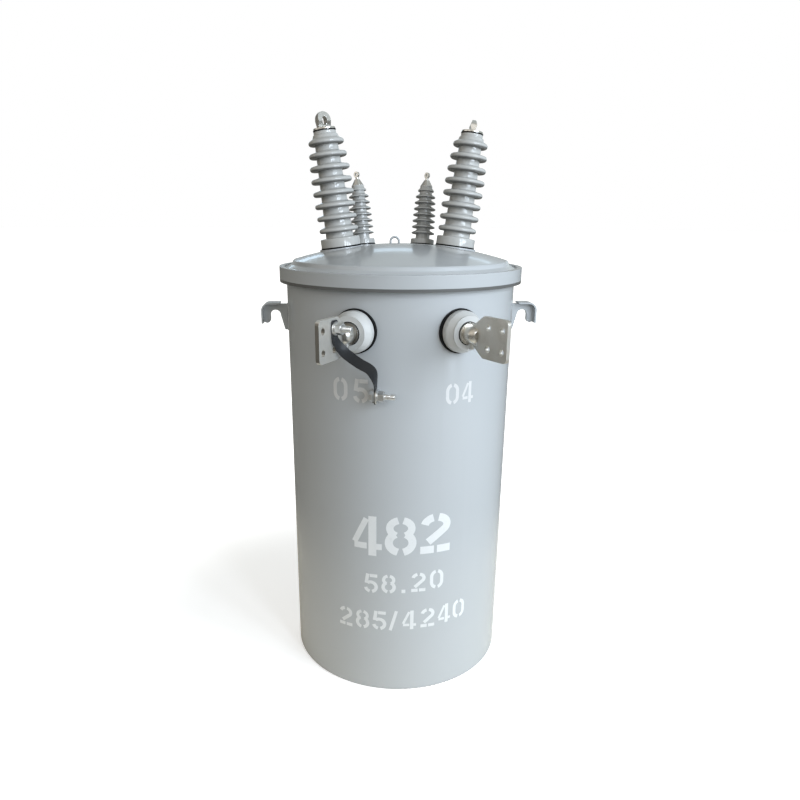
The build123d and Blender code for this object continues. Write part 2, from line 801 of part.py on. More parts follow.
# ---------------------------------------------------------------- lifting lugs
lug_top = tank_height - lug_drop
lug_plate_top = lug_top - lug_strip_t
lug_root = tank_r + seat_gap
lug_outer = tank_r + lug_reach
strip_start = lug_root + lug_strip_from
strip_outer = lug_outer + lug_strip_t
notch_outer = lug_outer - lug_prong_w
notch_r = lug_notch_w / 2
notch_top = lug_top - lug_arch_drop
prong_end = lug_top - lug_prong_drop
prong_r = lug_prong_w / 2
for side, sign in sides.items():
    lug_plane = side_plane(sign * 90)
    with BuildPart() as lifting_lug:
        with BuildSketch(lug_plane) as lug_outline:
            with BuildLine():
                foot = Vector(lug_root + lug_leg_foot, lug_top - lug_foot_drop)
                notch_left = Vector(notch_outer - lug_notch_w, notch_top - notch_r)
                notch_right = Vector(notch_outer, notch_top - notch_r)
                Polyline((lug_root, lug_top - lug_foot_drop), foot, notch_left)
                ThreePointArc(notch_left, (notch_outer - notch_r, notch_top), notch_right)
                tip_inner = Vector(notch_outer, prong_end + prong_r)
                tip_outer = Vector(lug_outer, prong_end + prong_r)
                Line(notch_right, tip_inner)
                ThreePointArc(tip_inner, (notch_outer + prong_r, prong_end), tip_outer)
                Polyline(tip_outer, (lug_outer, lug_plate_top), (lug_root, lug_plate_top))
                Line((lug_root, lug_plate_top), (lug_root, lug_top - lug_foot_drop))
            make_face()
            corner = lug_outline.vertices().sort_by_distance((lug_outer, lug_plate_top))[0]
            fillet(corner, lug_corner)
        extrude(amount=lug_t / 2, both=True)
        with BuildSketch(lug_plane) as strip_outline:
            with BuildLine():
                Polyline(
                    (strip_start, lug_plate_top),
                    (strip_start, lug_top),
                    (strip_outer, lug_top),
                    (strip_outer, prong_end),
                    (lug_outer, prong_end),
                    (lug_outer, lug_plate_top),
                    close=True,
                )
            make_face()
            bend = strip_outline.vertices()
            fillet(bend.sort_by_distance((strip_outer, lug_top))[0], lug_corner + lug_strip_t)
            bend = strip_outline.vertices()
            fillet(bend.sort_by_distance((lug_outer, lug_plate_top))[0], lug_corner)
        extrude(amount=lug_strip_w / 2, both=True)
    lifting_lug.part.label = f"lifting_lug_{side}"
    export_step(lifting_lug.part, f"parts/lifting_lug_{side}.step")

# ---------------------------------------------------------------- rear support lugs
for level, seat_z in support_levels.items():
    low = seat_z - support_below
    with BuildPart() as support_lug:
        with BuildSketch(Plane.XY.offset(low)) as channel:
            with Locations((0, support_face / 2)):
                Rectangle(support_w, support_face)
            fillet(channel.vertices().group_by(Axis.Y)[-1], support_t)
            with Locations((0, (support_face - support_t) / 2)):
                Rectangle(support_w - 2 * support_t, support_face - support_t, mode=Mode.SUBTRACT)
            Circle(tank_r + seat_gap, mode=Mode.SUBTRACT)
        extrude(amount=support_below + support_above)
        with BuildSketch(Plane.XZ.offset(-support_face)):
            with Locations((0, seat_z - support_slot / 2)):
                Circle(support_slot / 2)
            with Locations((0, (low + seat_z - support_slot) / 2)):
                Rectangle(support_slot, seat_z - low)
        extrude(amount=2 * support_t, both=True, mode=Mode.SUBTRACT)
    support_lug.part.label = f"support_lug_{level}"
    export_step(support_lug.part, f"parts/support_lug_{level}.step")

# ---------------------------------------------------------------- ground tab and strap
tab_plane = side_plane(tab_angle, tab_z, -tab_t)
with BuildPart() as ground_tab:
    with BuildSketch(tab_plane) as tab_outline:
        with Locations((tank_r + seat_gap + tab_reach / 2, 0)):
            Rectangle(tab_reach, tab_height)
        fillet(tab_outline.vertices().group_by(Axis.X)[-1], tab_round)
        with Locations((tab_bolt_at, 0)):
            Circle(bolt_r + bolt_clear, mode=Mode.SUBTRACT)
    extrude(amount=-tab_t)
ground_tab.part.label = "ground_tab"
export_step(ground_tab.part, "parts/ground_tab.step")

tab_seat = tab_plane.location * Location((tab_bolt_at, 0, 0))
tab_face = Plane(origin=tab_seat.position, x_dir=up, z_dir=sideways(tab_angle))
ground_bolt = hex_bolt(tab_face, bolt_len)
ground_bolt.part.label = "ground_bolt"
export_step(ground_bolt.part, "parts/ground_bolt.step")

ground_nut = hex_nut(tab_face.offset(tab_t + strap_t), tab_washer_r)
ground_nut.part.label = "ground_nut"
export_step(ground_nut.part, "parts/ground_nut.step")

pad_side = sideways(pad_angles["left"])
pad_middle = pad_plane("left").location * Location((pad_first, pad_pitch / 2, 0))
pad_hole = pad_middle.position
strap_start = pad_hole + pad_side * ((pad_t + strap_t) / 2) - up * strap_end
strap_stop = outward(tab_angle) * tab_bolt_at + sideways(tab_angle) * (strap_t / 2) + up * (tab_z + strap_end)
run = strap_stop - strap_start
route = [
    strap_start + Vector(run.X * across, run.Y * inward, run.Z * down)
    for across, inward, down in strap_turns
]
with BuildPart() as ground_strap:
    with BuildLine() as strap_route:
        Spline(strap_start, *route, strap_stop, tangents=(-up, -up), tangent_scalars=(1, 1))
    for station in range(strap_stations):
        share = station / (strap_stations - 1)
        towards_end = pad_side if share < 0.5 else sideways(tab_angle)
        twist = min(1.0, strap_twist * min(share, 1 - share))
        twist = twist**2 * (3 - 2 * twist)
        facing = towards_end * (1 - twist) + outward(0) * twist
        ahead = strap_route.line % share
        with BuildSketch(Plane(origin=strap_route.line @ share, x_dir=ahead.cross(facing), z_dir=ahead)):
            Rectangle(strap_w, strap_t)
    loft(ruled=True)
    for face, across, level, tail_side in (
        (pad_plane("left", pad_t / 2 + strap_t), pad_first, pad_pitch / 2, 1),
        (side_plane(tab_angle, tab_z, strap_t), tab_bolt_at, 0, -1),
    ):
        with BuildSketch(face) as strap_foot:
            with Locations((across, level + tail_side * (strap_tail - strap_end) / 2)):
                Rectangle(strap_w, strap_tail + strap_end)
            tail_corners = strap_foot.vertices().sort_by(Axis.Y)[::tail_side][-2:]
            fillet(tail_corners, strap_round)
            with Locations((across, level)):
                Circle(bolt_r + fit_gap, mode=Mode.SUBTRACT)
        extrude(amount=strap_t)
ground_strap.part.label = "ground_strap"
export_step(ground_strap.part, "parts/ground_strap.step")

strap_bolt_face = Plane(origin=pad_hole - pad_side * (pad_t / 2), x_dir=up, z_dir=pad_side)
strap_bolt = hex_bolt(strap_bolt_face, bolt_len)
strap_bolt.part.label = "strap_bolt"
export_step(strap_bolt.part, "parts/strap_bolt.step")

strap_nut = hex_nut(strap_bolt_face.offset(pad_t + strap_t), strap_washer_r)
strap_nut.part.label = "strap_nut"
export_step(strap_nut.part, "parts/strap_nut.step")
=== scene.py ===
from math import cos, radians, sin, sqrt

import bmesh
import bpy
from mathutils import Euler, Matrix, Vector


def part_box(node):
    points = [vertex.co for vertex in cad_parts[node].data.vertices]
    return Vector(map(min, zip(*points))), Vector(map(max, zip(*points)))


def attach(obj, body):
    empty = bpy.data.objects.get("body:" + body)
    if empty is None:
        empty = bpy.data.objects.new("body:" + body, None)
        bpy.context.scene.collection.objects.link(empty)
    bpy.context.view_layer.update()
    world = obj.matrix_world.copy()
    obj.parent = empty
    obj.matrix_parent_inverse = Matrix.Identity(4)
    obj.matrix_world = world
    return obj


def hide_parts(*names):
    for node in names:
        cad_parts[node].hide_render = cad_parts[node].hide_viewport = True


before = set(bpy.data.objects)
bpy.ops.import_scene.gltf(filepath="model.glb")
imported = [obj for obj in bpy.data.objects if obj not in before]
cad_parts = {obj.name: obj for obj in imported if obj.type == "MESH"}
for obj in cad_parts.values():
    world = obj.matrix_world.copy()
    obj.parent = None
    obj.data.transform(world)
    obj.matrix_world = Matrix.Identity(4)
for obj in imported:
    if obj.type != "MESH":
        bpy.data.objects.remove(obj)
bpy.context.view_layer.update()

# Everything is in metres, in the frame of the construction: the origin is the centre of the tank's
# underside, +Z is up and the low-voltage terminals face -Y. Angles round the tank are in degrees,
# measured from the front, and grow towards +X.
mm = 0.001

# ---------------------------------------------------------------- sizes read from the frame
tank_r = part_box("tank_base")[1].x
base_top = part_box("tank_base")[1].z
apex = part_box("cover")[1].z
band_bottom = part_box("cover_band")[0].z
lug_low, lug_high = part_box("lifting_lug_right")
support_boxes = [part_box("support_lug_upper"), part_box("support_lug_lower")]
screws_low, screws_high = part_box("lv_screws")

# Sizes of the construction that the boxes do not give
dome_sphere_r = 933.4 * mm
lug_t = 12 * mm
lug_strip_t = 4 * mm
support_t = 8 * mm
tab_angle = -14.1
tab_t = 5 * mm
tab_half_height = 14 * mm
tab_z = 793.5 * mm
tab_bolt_at = 307 * mm
loop_turn = 185.5
loop_back = 90 * mm
loop_half = 11 * mm
loop_wire_r = 3 * mm
bolt_r = 6.35 * mm
thread_pitch = 1.954 * mm
strap_bolt_at = Vector((-165.4, -360.2, 955.2)) * mm
strap_bolt_angle = -28.6
screw_r = 6.5 * mm
lv_angles = (-24.1, 23.5)
screw_reach = 336.3 * mm
pad_from = 362 * mm  # off the tank's axis, where a terminal's flat pad begins


# ---------------------------------------------------------------- node helpers
def add_node(tree, kind, inputs=None, **settings):
    """Adds a node; inputs are values or sockets to link, by name or by number."""
    made = tree.nodes.new(kind)
    for name, value in settings.items():
        setattr(made, name, value)
    for key, value in (inputs or {}).items():
        if isinstance(value, bpy.types.NodeSocket):
            tree.links.new(value, made.inputs[key])
        else:
            made.inputs[key].default_value = value
    return made


def calculate(tree, operation, first, second=0.0, third=0.0):
    """Result of a Math node."""
    inputs = {0: first, 1: second, 2: third}
    return add_node(tree, "ShaderNodeMath", inputs, operation=operation).outputs[0]


def ease(tree, value, low, high, start=0.0, end=1.0):
    """Value brought smoothly from low..high to start..end."""
    inputs = {"Value": value, 1: low, 2: high, 3: start, 4: end}
    settings = {"interpolation_type": "SMOOTHSTEP"}
    return add_node(tree, "ShaderNodeMapRange", inputs, **settings).outputs["Result"]


def dot_product(tree, first, second):
    """Dot product of two directions."""
    inputs = {0: first, 1: second}
    made = add_node(tree, "ShaderNodeVectorMath", inputs, operation="DOT_PRODUCT")
    return made.outputs["Value"]


def scaled(tree, vector, factor):
    """Vector or colour times a factor."""
    inputs = {0: vector, "Scale": factor}
    return add_node(tree, "ShaderNodeVectorMath", inputs, operation="SCALE").outputs["Vector"]


def length_of(tree, vector):
    """Length of a vector."""
    made = add_node(tree, "ShaderNodeVectorMath", {0: vector}, operation="LENGTH")
    return made.outputs["Value"]


def upward_part(tree, vector):
    """Z of a place or a direction."""
    return add_node(tree, "ShaderNodeSeparateXYZ", {0: vector}).outputs["Z"]


def surface_normal(tree):
    """Normal of the surface, without any bump."""
    return add_node(tree, "ShaderNodeNewGeometry").outputs["Normal"]


def rounded_normal(tree, radius):
    """Normal that turns softly over a sharp edge."""
    return add_node(tree, "ShaderNodeBevel", {"Radius": radius}, samples=4).outputs["Normal"]


def blend_colours(tree, share, first, second, blend_type="MIX"):
    """Colour mixed from two."""
    inputs = {0: share, 6: first, 7: second}
    settings = {"data_type": "RGBA", "blend_type": blend_type}
    return add_node(tree, "ShaderNodeMix", inputs, **settings).outputs[2]


def object_place(tree, scale=(1.0, 1.0, 1.0)):
    """Object coordinates, stretched where a scale is given."""
    place = add_node(tree, "ShaderNodeTexCoord").outputs["Object"]
    inputs = {"Vector": place, "Scale": scale}
    return add_node(tree, "ShaderNodeMapping", inputs).outputs["Vector"]


def noise(tree, place, scale, detail=2.0, roughness=0.5):
    """Noise value between 0 and 1."""
    inputs = {"Vector": place, "Scale": scale, "Detail": detail, "Roughness": roughness}
    return add_node(tree, "ShaderNodeTexNoise", inputs).outputs["Fac"]


def new_group(name, sockets_in, sockets_out):
    """Shader node group; sockets in are (name, type, default) and sockets out (name, type)."""
    group = bpy.data.node_groups.new(name, "ShaderNodeTree")
    for socket_name, kind, default in sockets_in:
        kind = f"NodeSocket{kind}"
        socket = group.interface.new_socket(socket_name, in_out="INPUT", socket_type=kind)
        socket.default_value = default
    for socket_name, kind in sockets_out:
        group.interface.new_socket(socket_name, in_out="OUTPUT", socket_type=f"NodeSocket{kind}")
    entry = group.nodes.new("NodeGroupInput")
    result = group.nodes.new("NodeGroupOutput")
    return group, entry.outputs, result.inputs


def use_group(tree, group, inputs):
    """Places a group in a material with its own values."""
    return add_node(tree, "ShaderNodeGroup", inputs, node_tree=group).outputs


# ---------------------------------------------------------------- shared effects
mid_grey = (0.5, 0.5, 0.5, 1)


def tone_drift_group():
    """Base colour that drifts a little lighter and darker over the surface."""
    sockets = [("Colour", "Color", mid_grey), ("Scale", "Float", 4.0), ("Amount", "Float", 0.04)]
    group, entry, result = new_group("tone_drift", sockets, [("Colour", "Color")])
    broad = noise(group, object_place(group), entry["Scale"], detail=3.0)
    swing = calculate(group, "MULTIPLY", calculate(group, "SUBTRACT", broad, 0.5), 2.0)
    factor = calculate(group, "MULTIPLY_ADD", swing, entry["Amount"], 1.0)
    group.links.new(scaled(group, entry["Colour"], factor), result["Colour"])
    return group


def settled_dust_group():
    """Dust that lies on what faces up, in uneven patches."""
    sockets = [
        ("Colour", "Color", mid_grey),
        ("Roughness", "Float", 0.3),
        ("Dust", "Color", (0.5, 0.48, 0.44, 1)),
        ("Amount", "Float", 0.2),
    ]
    results = [("Colour", "Color"), ("Roughness", "Float")]
    group, entry, result = new_group("settled_dust", sockets, results)
    facing = ease(group, upward_part(group, surface_normal(group)), 0.45, 0.98)
    blotches = noise(group, object_place(group), 22.0, detail=6.0, roughness=0.65)
    patches = ease(group, blotches, 0.36, 0.66)
    share = calculate(group, "MULTIPLY", facing, patches)
    share = calculate(group, "MULTIPLY", share, entry["Amount"])
    dusted = blend_colours(group, share, entry["Colour"], entry["Dust"])
    group.links.new(dusted, result["Colour"])
    rougher = calculate(group, "MULTIPLY_ADD", share, 0.5, entry["Roughness"])
    group.links.new(rougher, result["Roughness"])
    return group


def underside_shade_group():
    """Painted shade on what faces down: a dark colour, broken up by noise."""
    sockets = [
        ("Colour", "Color", mid_grey),
        ("Painted shade", "Color", (0.1, 0.1, 0.1, 1)),
        ("Amount", "Float", 0.8),
    ]
    group, entry, result = new_group("underside_shade", sockets, [("Colour", "Color")])
    # Painted shade: the more a face looks down, the darker its colour.
    facing = ease(group, upward_part(group, surface_normal(group)), -0.08, -0.6)
    blotches = noise(group, object_place(group), 40.0, detail=4.0)
    patches = ease(group, blotches, 0.2, 0.6, 0.75, 1.0)
    share = calculate(group, "MULTIPLY", facing, patches)
    share = calculate(group, "MULTIPLY", share, entry["Amount"])
    darkened = blend_colours(group, share, entry["Colour"], entry["Painted shade"])
    group.links.new(darkened, result["Colour"])
    return group


def orange_peel_group():
    """Height of sprayed enamel: a close ripple on a slow roll."""
    sockets = [("Scale", "Float", 260.0), ("Roll", "Float", 9.0), ("Roll share", "Float", 3.0)]
    group, entry, result = new_group("orange_peel", sockets, [("Height", "Float")])
    place = object_place(group)
    ripple = noise(group, place, entry["Scale"], detail=1.0)
    roll = noise(group, place, entry["Roll"], detail=1.0)
    height = calculate(group, "MULTIPLY_ADD", roll, entry["Roll share"], ripple)
    group.links.new(height, result["Height"])
    return group


def edge_rub_group():
    """Mask of rubbed edges, broken up by noise."""
    sockets = [
        ("Radius", "Float", 1.0 * mm),
        ("Break up", "Float", 160.0),
        ("Amount", "Float", 1.0),
    ]
    group, entry, result = new_group("edge_rub", sockets, [("Mask", "Float")])
    rounded = rounded_normal(group, entry["Radius"])
    edge = ease(group, dot_product(group, rounded, surface_normal(group)), 0.995, 0.86)
    blotches = noise(group, object_place(group), entry["Break up"], detail=4.0)
    patches = ease(group, blotches, 0.38, 0.62)
    mask = calculate(group, "MULTIPLY", edge, patches)
    mask = calculate(group, "MULTIPLY", mask, entry["Amount"])
    group.links.new(mask, result["Mask"])
    return group


def cast_grain_group():
    """Height of a cast or drawn metal skin: fine grain with a few pits."""
    sockets = [("Scale", "Float", 700.0), ("Pits", "Float", 0.6)]
    group, entry, result = new_group("cast_grain", sockets, [("Height", "Float")])
    place = object_place(group)
    grain = noise(group, place, entry["Scale"], detail=3.0, roughness=0.6)
    inputs = {"Vector": place, "Scale": calculate(group, "MULTIPLY", entry["Scale"], 0.35)}
    cells = add_node(group, "ShaderNodeTexVoronoi", inputs).outputs["Distance"]
    pits = ease(group, cells, 0.0, 0.22)
    height = calculate(group, "MULTIPLY_ADD", pits, entry["Pits"], grain)
    group.links.new(height, result["Height"])
    return group


tone_drift = tone_drift_group()
settled_dust = settled_dust_group()
underside_shade = underside_shade_group()
orange_peel = orange_peel_group()
edge_rub = edge_rub_group()
cast_grain = cast_grain_group()


# ---------------------------------------------------------------- materials
def new_material(name):
    """Material with its node tree and its shader."""
    material = bpy.data.materials.new(name)
    material.use_nodes = True
    tree = material.node_tree
    return material, tree, tree.nodes["Principled BSDF"]


def set_bump(tree, shader, height, distance, normal=None):
    """Bump from a height of 0..1 that stands for the given distance."""
    inputs = {"Height": height, "Distance": distance, "Strength": 1.0}
    if normal is not None:
        inputs["Normal"] = normal
    bump = add_node(tree, "ShaderNodeBump", inputs)
    tree.links.new(bump.outputs["Normal"], shader.inputs["Normal"])


def drifting(tree, colour, scale, amount):
    """Colour with the shared drift of tone."""
    inputs = {"Colour": colour, "Scale": scale, "Amount": amount}
    return use_group(tree, tone_drift, inputs)["Colour"]


def shaded_below(tree, colour, shade_colour, amount):
    """Colour with the shared painted shade on what faces down."""
    inputs = {"Colour": colour, "Painted shade": shade_colour, "Amount": amount}
    return use_group(tree, underside_shade, inputs)["Colour"]


def rubbed(tree, radius, break_up, amount):
    """Shared mask of rubbed edges."""
    inputs = {"Radius": radius, "Break up": break_up, "Amount": amount}
    return use_group(tree, edge_rub, inputs)["Mask"]


def finish_dusty(tree, shader, colour, roughness, dust, amount):
    """Colour and roughness of the shader, under the shared dust."""
    inputs = {"Colour": colour, "Roughness": roughness, "Dust": dust, "Amount": amount}
    dusty = use_group(tree, settled_dust, inputs)
    tree.links.new(dusty["Colour"], shader.inputs["Base Color"])
    tree.links.new(dusty["Roughness"], shader.inputs["Roughness"])


def tank_enamel_material(name, painted_shadow_top=None):
    """Sprayed light grey gloss enamel, with painted shade on what faces down and a painted shadow
    below the height of painted_shadow_top.
    """
    material, tree, shader = new_material(name)
    colour = drifting(tree, (0.435, 0.458, 0.475, 1), 3.5, 0.025)
    # Painted shade on what faces down.
    colour = shaded_below(tree, colour, (0.07, 0.068, 0.062, 1), 0.9)
    # Painted shadow: below this height the enamel is darkened, as in the shade under the band.
    if painted_shadow_top:
        height = upward_part(tree, object_place(tree))
        soft = 0.6 * mm
        below = ease(tree, height, painted_shadow_top + soft, painted_shadow_top - soft, end=0.88)
        colour = blend_colours(tree, below, colour, (0.07, 0.07, 0.066, 1))
    finish_dusty(tree, shader, colour, 0.2, (0.5, 0.49, 0.45, 1), 0.03)
    shader.inputs["Coat Weight"].default_value = 0.35
    shader.inputs["Coat Roughness"].default_value = 0.05
    inputs = {"Scale": 240.0, "Roll": 7.0, "Roll share": 3.0}
    height = use_group(tree, orange_peel, inputs)["Height"]
    set_bump(tree, shader, height, 0.02 * mm, normal=rounded_normal(tree, 0.8 * mm))
    return material


def glaze_material():
    """Light grey glazed porcelain with a few dark specks."""
    material, tree, shader = new_material("bushing_glaze")
    colour = drifting(tree, (0.44, 0.445, 0.435, 1), 14.0, 0.05)
    place = object_place(tree)
    specks = ease(tree, noise(tree, place, 900.0, detail=1.0), 0.72, 0.78)
    faint = calculate(tree, "MULTIPLY", specks, 0.25)
    colour = blend_colours(tree, faint, colour, (0.2, 0.2, 0.19, 1))
    # Painted shade on what faces down, such as the sheds' undersides.
    colour = shaded_below(tree, colour, (0.09, 0.09, 0.085, 1), 0.85)
    finish_dusty(tree, shader, colour, 0.06, (0.5, 0.49, 0.46, 1), 0.05)
    shader.inputs["IOR"].default_value = 1.54
    set_bump(tree, shader, noise(tree, place, 55.0, detail=2.0), 0.12 * mm)
    return material


def resin_material():
    """Pale grey moulded resin of the low-voltage bushings."""
    material, tree, shader = new_material("lv_resin")
    colour = drifting(tree, (0.53, 0.54, 0.535, 1), 20.0, 0.04)
    finish_dusty(tree, shader, colour, 0.3, (0.5, 0.48, 0.44, 1), 0.15)
    set_bump(tree, shader, noise(tree, object_place(tree), 420.0, detail=2.0), 0.02 * mm)
    return material


def rubber_material():
    """Black gasket rubber with a fine matt skin."""
    material, tree, shader = new_material("seal_rubber")
    colour = drifting(tree, (0.004, 0.004, 0.0045, 1), 60.0, 0.25)
    finish_dusty(tree, shader, colour, 0.55, (0.1, 0.095, 0.09, 1), 0.1)
    shader.inputs["Specular IOR Level"].default_value = 0.12
    set_bump(tree, shader, noise(tree, object_place(tree), 1500.0, detail=3.0), 0.03 * mm)
    return material


def metal_material(
    name,
    colour,
    tarnish,
    tarnish_share,
    roughness,
    grain_scale,
    grain_depth,
    pad_roughness=None,
    shaded_end=None,
):
    """Plated metal: a fine grain, clouded by tarnish and rubbed bright on its edges.

    With pad_roughness, a terminal's flat pad is more matt than its round neck. With shaded_end, the
    faces that look that way get a painted shade, a dark colour for the dark reflection they show.
    """
    material, tree, shader = new_material(name)
    drift = drifting(tree, colour, 40.0, 0.06)
    place = object_place(tree)
    blotches = noise(tree, place, 30.0, detail=5.0, roughness=0.55)
    clouds = ease(tree, blotches, 0.4, 0.68, end=tarnish_share)
    dulled = blend_colours(tree, clouds, drift, tarnish)
    rub = rubbed(tree, 0.9 * mm, 220.0, 0.7)
    bright = blend_colours(tree, rub, dulled, (0.86, 0.85, 0.82, 1))
    # Painted shade on the faces that look towards shaded_end.
    if shaded_end:
        facing = dot_product(tree, surface_normal(tree), shaded_end)
        end_shade = ease(tree, facing, 0.74, 0.9, end=0.9)
        bright = blend_colours(tree, end_shade, bright, (0.2, 0.19, 0.17, 1))
    tree.links.new(bright, shader.inputs["Base Color"])
    rough = calculate(tree, "MULTIPLY_ADD", clouds, 0.12, roughness)
    if pad_roughness:
        inputs = {0: place, 1: (1.0, 1.0, 0.0)}
        level = add_node(tree, "ShaderNodeVectorMath", inputs, operation="MULTIPLY").outputs[0]
        reach = length_of(tree, level)
        pad_full = pad_from + 6 * mm
        pad_extra = ease(tree, reach, pad_from, pad_full, 0.0, pad_roughness - roughness)
        rough = calculate(tree, "ADD", rough, pad_extra)
    rough = calculate(tree, "MULTIPLY_ADD", rub, -0.1, rough)
    tree.links.new(rough, shader.inputs["Roughness"])
    shader.inputs["Metallic"].default_value = 1.0
    height = use_group(tree, cast_grain, {"Scale": grain_scale, "Pits": 0.5})["Height"]
    set_bump(tree, shader, height, grain_depth, normal=rounded_normal(tree, 0.7 * mm))
    return material


def strap_material():
    """Black satin finish of the ground strap, with a drawn grain."""
    material, tree, shader = new_material("strap_black")
    colour = drifting(tree, (0.012, 0.013, 0.015, 1), 30.0, 0.2)
    rub = rubbed(tree, 0.6 * mm, 130.0, 0.8)
    colour = blend_colours(tree, rub, colour, (0.42, 0.41, 0.4, 1))
    tree.links.new(colour, shader.inputs["Base Color"])
    drawn = noise(tree, object_place(tree, (900.0, 900.0, 30.0)), 1.0, detail=2.0)
    tree.links.new(ease(tree, drawn, 0.2, 0.8, 0.32, 0.46), shader.inputs["Roughness"])
    tree.links.new(ease(tree, rub, 0.3, 0.7), shader.inputs["Metallic"])
    shader.inputs["Specular IOR Level"].default_value = 0.35
    set_bump(tree, shader, drawn, 0.03 * mm, normal=rounded_normal(tree, 0.6 * mm))
    return material


def stencil_material(name, paint):
    """White stencil paint, thin and mottled, with small misses where the grey shows."""
    material, tree, shader = new_material(name)
    place = object_place(tree)
    blotches = noise(tree, place, 95.0, detail=5.0, roughness=0.6)
    thin = ease(tree, blotches, 0.5, 0.86, end=0.35)
    misses = ease(tree, noise(tree, place, 780.0, detail=2.0), 0.7, 0.78, end=0.6)
    worn = calculate(tree, "MAXIMUM", thin, misses)
    colour = blend_colours(tree, worn, paint, (0.46, 0.48, 0.495, 1))
    tree.links.new(colour, shader.inputs["Base Color"])
    tree.links.new(ease(tree, worn, 0.0, 1.0, 0.42, 0.3), shader.inputs["Roughness"])
    set_bump(tree, shader, noise(tree, place, 520.0, detail=3.0), 0.03 * mm)
    return material


def layered_material(name, stretch, detail, light, dark, roughness, depth):
    """Layers that show as fine lines: a noise stretched along them."""
    material, tree, shader = new_material(name)
    layers = noise(tree, object_place(tree, stretch), 1.0, detail=detail)
    colour = blend_colours(tree, layers, dark, light)
    tree.links.new(colour, shader.inputs["Base Color"])
    tree.links.new(ease(tree, layers, 0.2, 0.8, *roughness), shader.inputs["Roughness"])
    set_bump(tree, shader, layers, depth)
    return material, shader


def core_steel_material():
    """Blue-grey wound steel strip, with the edges of its turns."""
    material, shader = layered_material(
        "core_strip",
        stretch=(3200.0, 6.0, 3200.0),
        detail=2.0,
        light=(0.34, 0.35, 0.37, 1),
        dark=(0.16, 0.17, 0.19, 1),
        roughness=(0.35, 0.5),
        depth=0.05 * mm,
    )
    shader.inputs["Metallic"].default_value = 1.0
    return material


def winding_material():
    """Brown insulating paper in level wraps."""
    material, _ = layered_material(
        "winding_paper",
        stretch=(8.0, 8.0, 260.0),
        detail=3.0,
        light=(0.58, 0.43, 0.25, 1),
        dark=(0.42, 0.28, 0.14, 1),
        roughness=(0.7, 0.85),
        depth=0.3 * mm,
    )
    return material


enamel = tank_enamel_material("tank_enamel")
# The band's enamel carries a painted shadow over its lowest 7.2 mm.
band_enamel = tank_enamel_material("band_enamel", painted_shadow_top=band_bottom + 7.2 * mm)
glaze = glaze_material()
resin = resin_material()
rubber = rubber_material()
tin = metal_material(
    "tin_plate",
    colour=(0.76, 0.75, 0.72, 1),
    tarnish=(0.6, 0.585, 0.55, 1),
    tarnish_share=0.4,
    roughness=0.22,
    grain_scale=600.0,
    grain_depth=0.008 * mm,
)
bright_tin = metal_material(
    "bright_terminal",
    colour=(0.8, 0.79, 0.76, 1),
    tarnish=(0.66, 0.645, 0.6, 1),
    tarnish_share=0.4,
    roughness=0.27,
    grain_scale=500.0,
    grain_depth=0.01 * mm,
    pad_roughness=0.5,
    # Painted shade on the spade's end face.
    shaded_end=(-0.48, -0.88, 0.0),
)
dull_tin = metal_material(
    "dull_terminal",
    colour=(0.66, 0.635, 0.585, 1),
    tarnish=(0.5, 0.47, 0.41, 1),
    tarnish_share=0.5,
    roughness=0.27,
    grain_scale=420.0,
    grain_depth=0.015 * mm,
    pad_roughness=0.42,
)
zinc = metal_material(
    "plated_metal",
    colour=(0.8, 0.8, 0.79, 1),
    tarnish=(0.5, 0.5, 0.49, 1),
    tarnish_share=0.35,
    roughness=0.3,
    grain_scale=900.0,
    grain_depth=0.006 * mm,
)
strap_black = strap_material()
stencil_white = stencil_material("stencil_white", (0.69, 0.71, 0.72, 1))
stencil_thin = stencil_material("stencil_thin", (0.59, 0.6, 0.605, 1))
core_strip = core_steel_material()
winding_paper = winding_material()


def pairs(*names):
    """Left and right nodes of the given names."""
    return [f"{name}_{side}" for name in names for side in ("left", "right")]


finishes = {
    enamel: [
        "tank_base",
        "tank_shell",
        "cover",
        "crown_loop",
        "support_lug_upper",
        "support_lug_lower",
        "ground_tab",
        *pairs("lifting_lug"),
    ],
    band_enamel: ["cover_band"],
    glaze: pairs("hv_bushing", "rear_bushing"),
    resin: pairs("lv_insulator"),
    rubber: [
        "cover_gasket",
        *pairs("hv_gasket", "hv_seal", "rear_gasket", "lv_gasket", "lv_oring"),
    ],
    tin: pairs("hv_cap", "hv_connector", "rear_terminal"),
    bright_tin: ["lv_terminal_left"],
    dull_tin: ["lv_terminal_right"],
    zinc: [
        "band_bolt",
        "band_nut",
        "ground_bolt",
        "ground_nut",
        "strap_bolt",
        "strap_nut",
        "lv_screws",
    ],
    strap_black: ["ground_strap"],
    core_strip: ["core"],
    winding_paper: ["coil"],
}
for material, names in finishes.items():
    for name in names:
        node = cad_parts[name]
        node.data.materials.clear()
        node.data.materials.append(material)


# ---------------------------------------------------------------- making pieces
def mesh_piece(name, mesh):
    """Piece of the object from a finished mesh, on the one body of the frame."""
    piece = bpy.data.objects.new(name, mesh)
    bpy.context.scene.collection.objects.link(piece)
    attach(piece, "root")
    return piece


def built_piece(name, built, material, crease=None):
    """Piece of the object from a bmesh, with its faces turned outwards.

    With a crease angle, it is smooth where its faces meet at less than that.
    """
    bmesh.ops.recalc_face_normals(built, faces=built.faces)
    if crease:
        for face in built.faces:
            face.smooth = True
        for edge in built.edges:
            edge.smooth = edge.calc_face_angle(0) < crease
    mesh = bpy.data.meshes.new(name)
    built.to_mesh(mesh)
    built.free()
    mesh.materials.append(material)
    return mesh_piece(name, mesh)


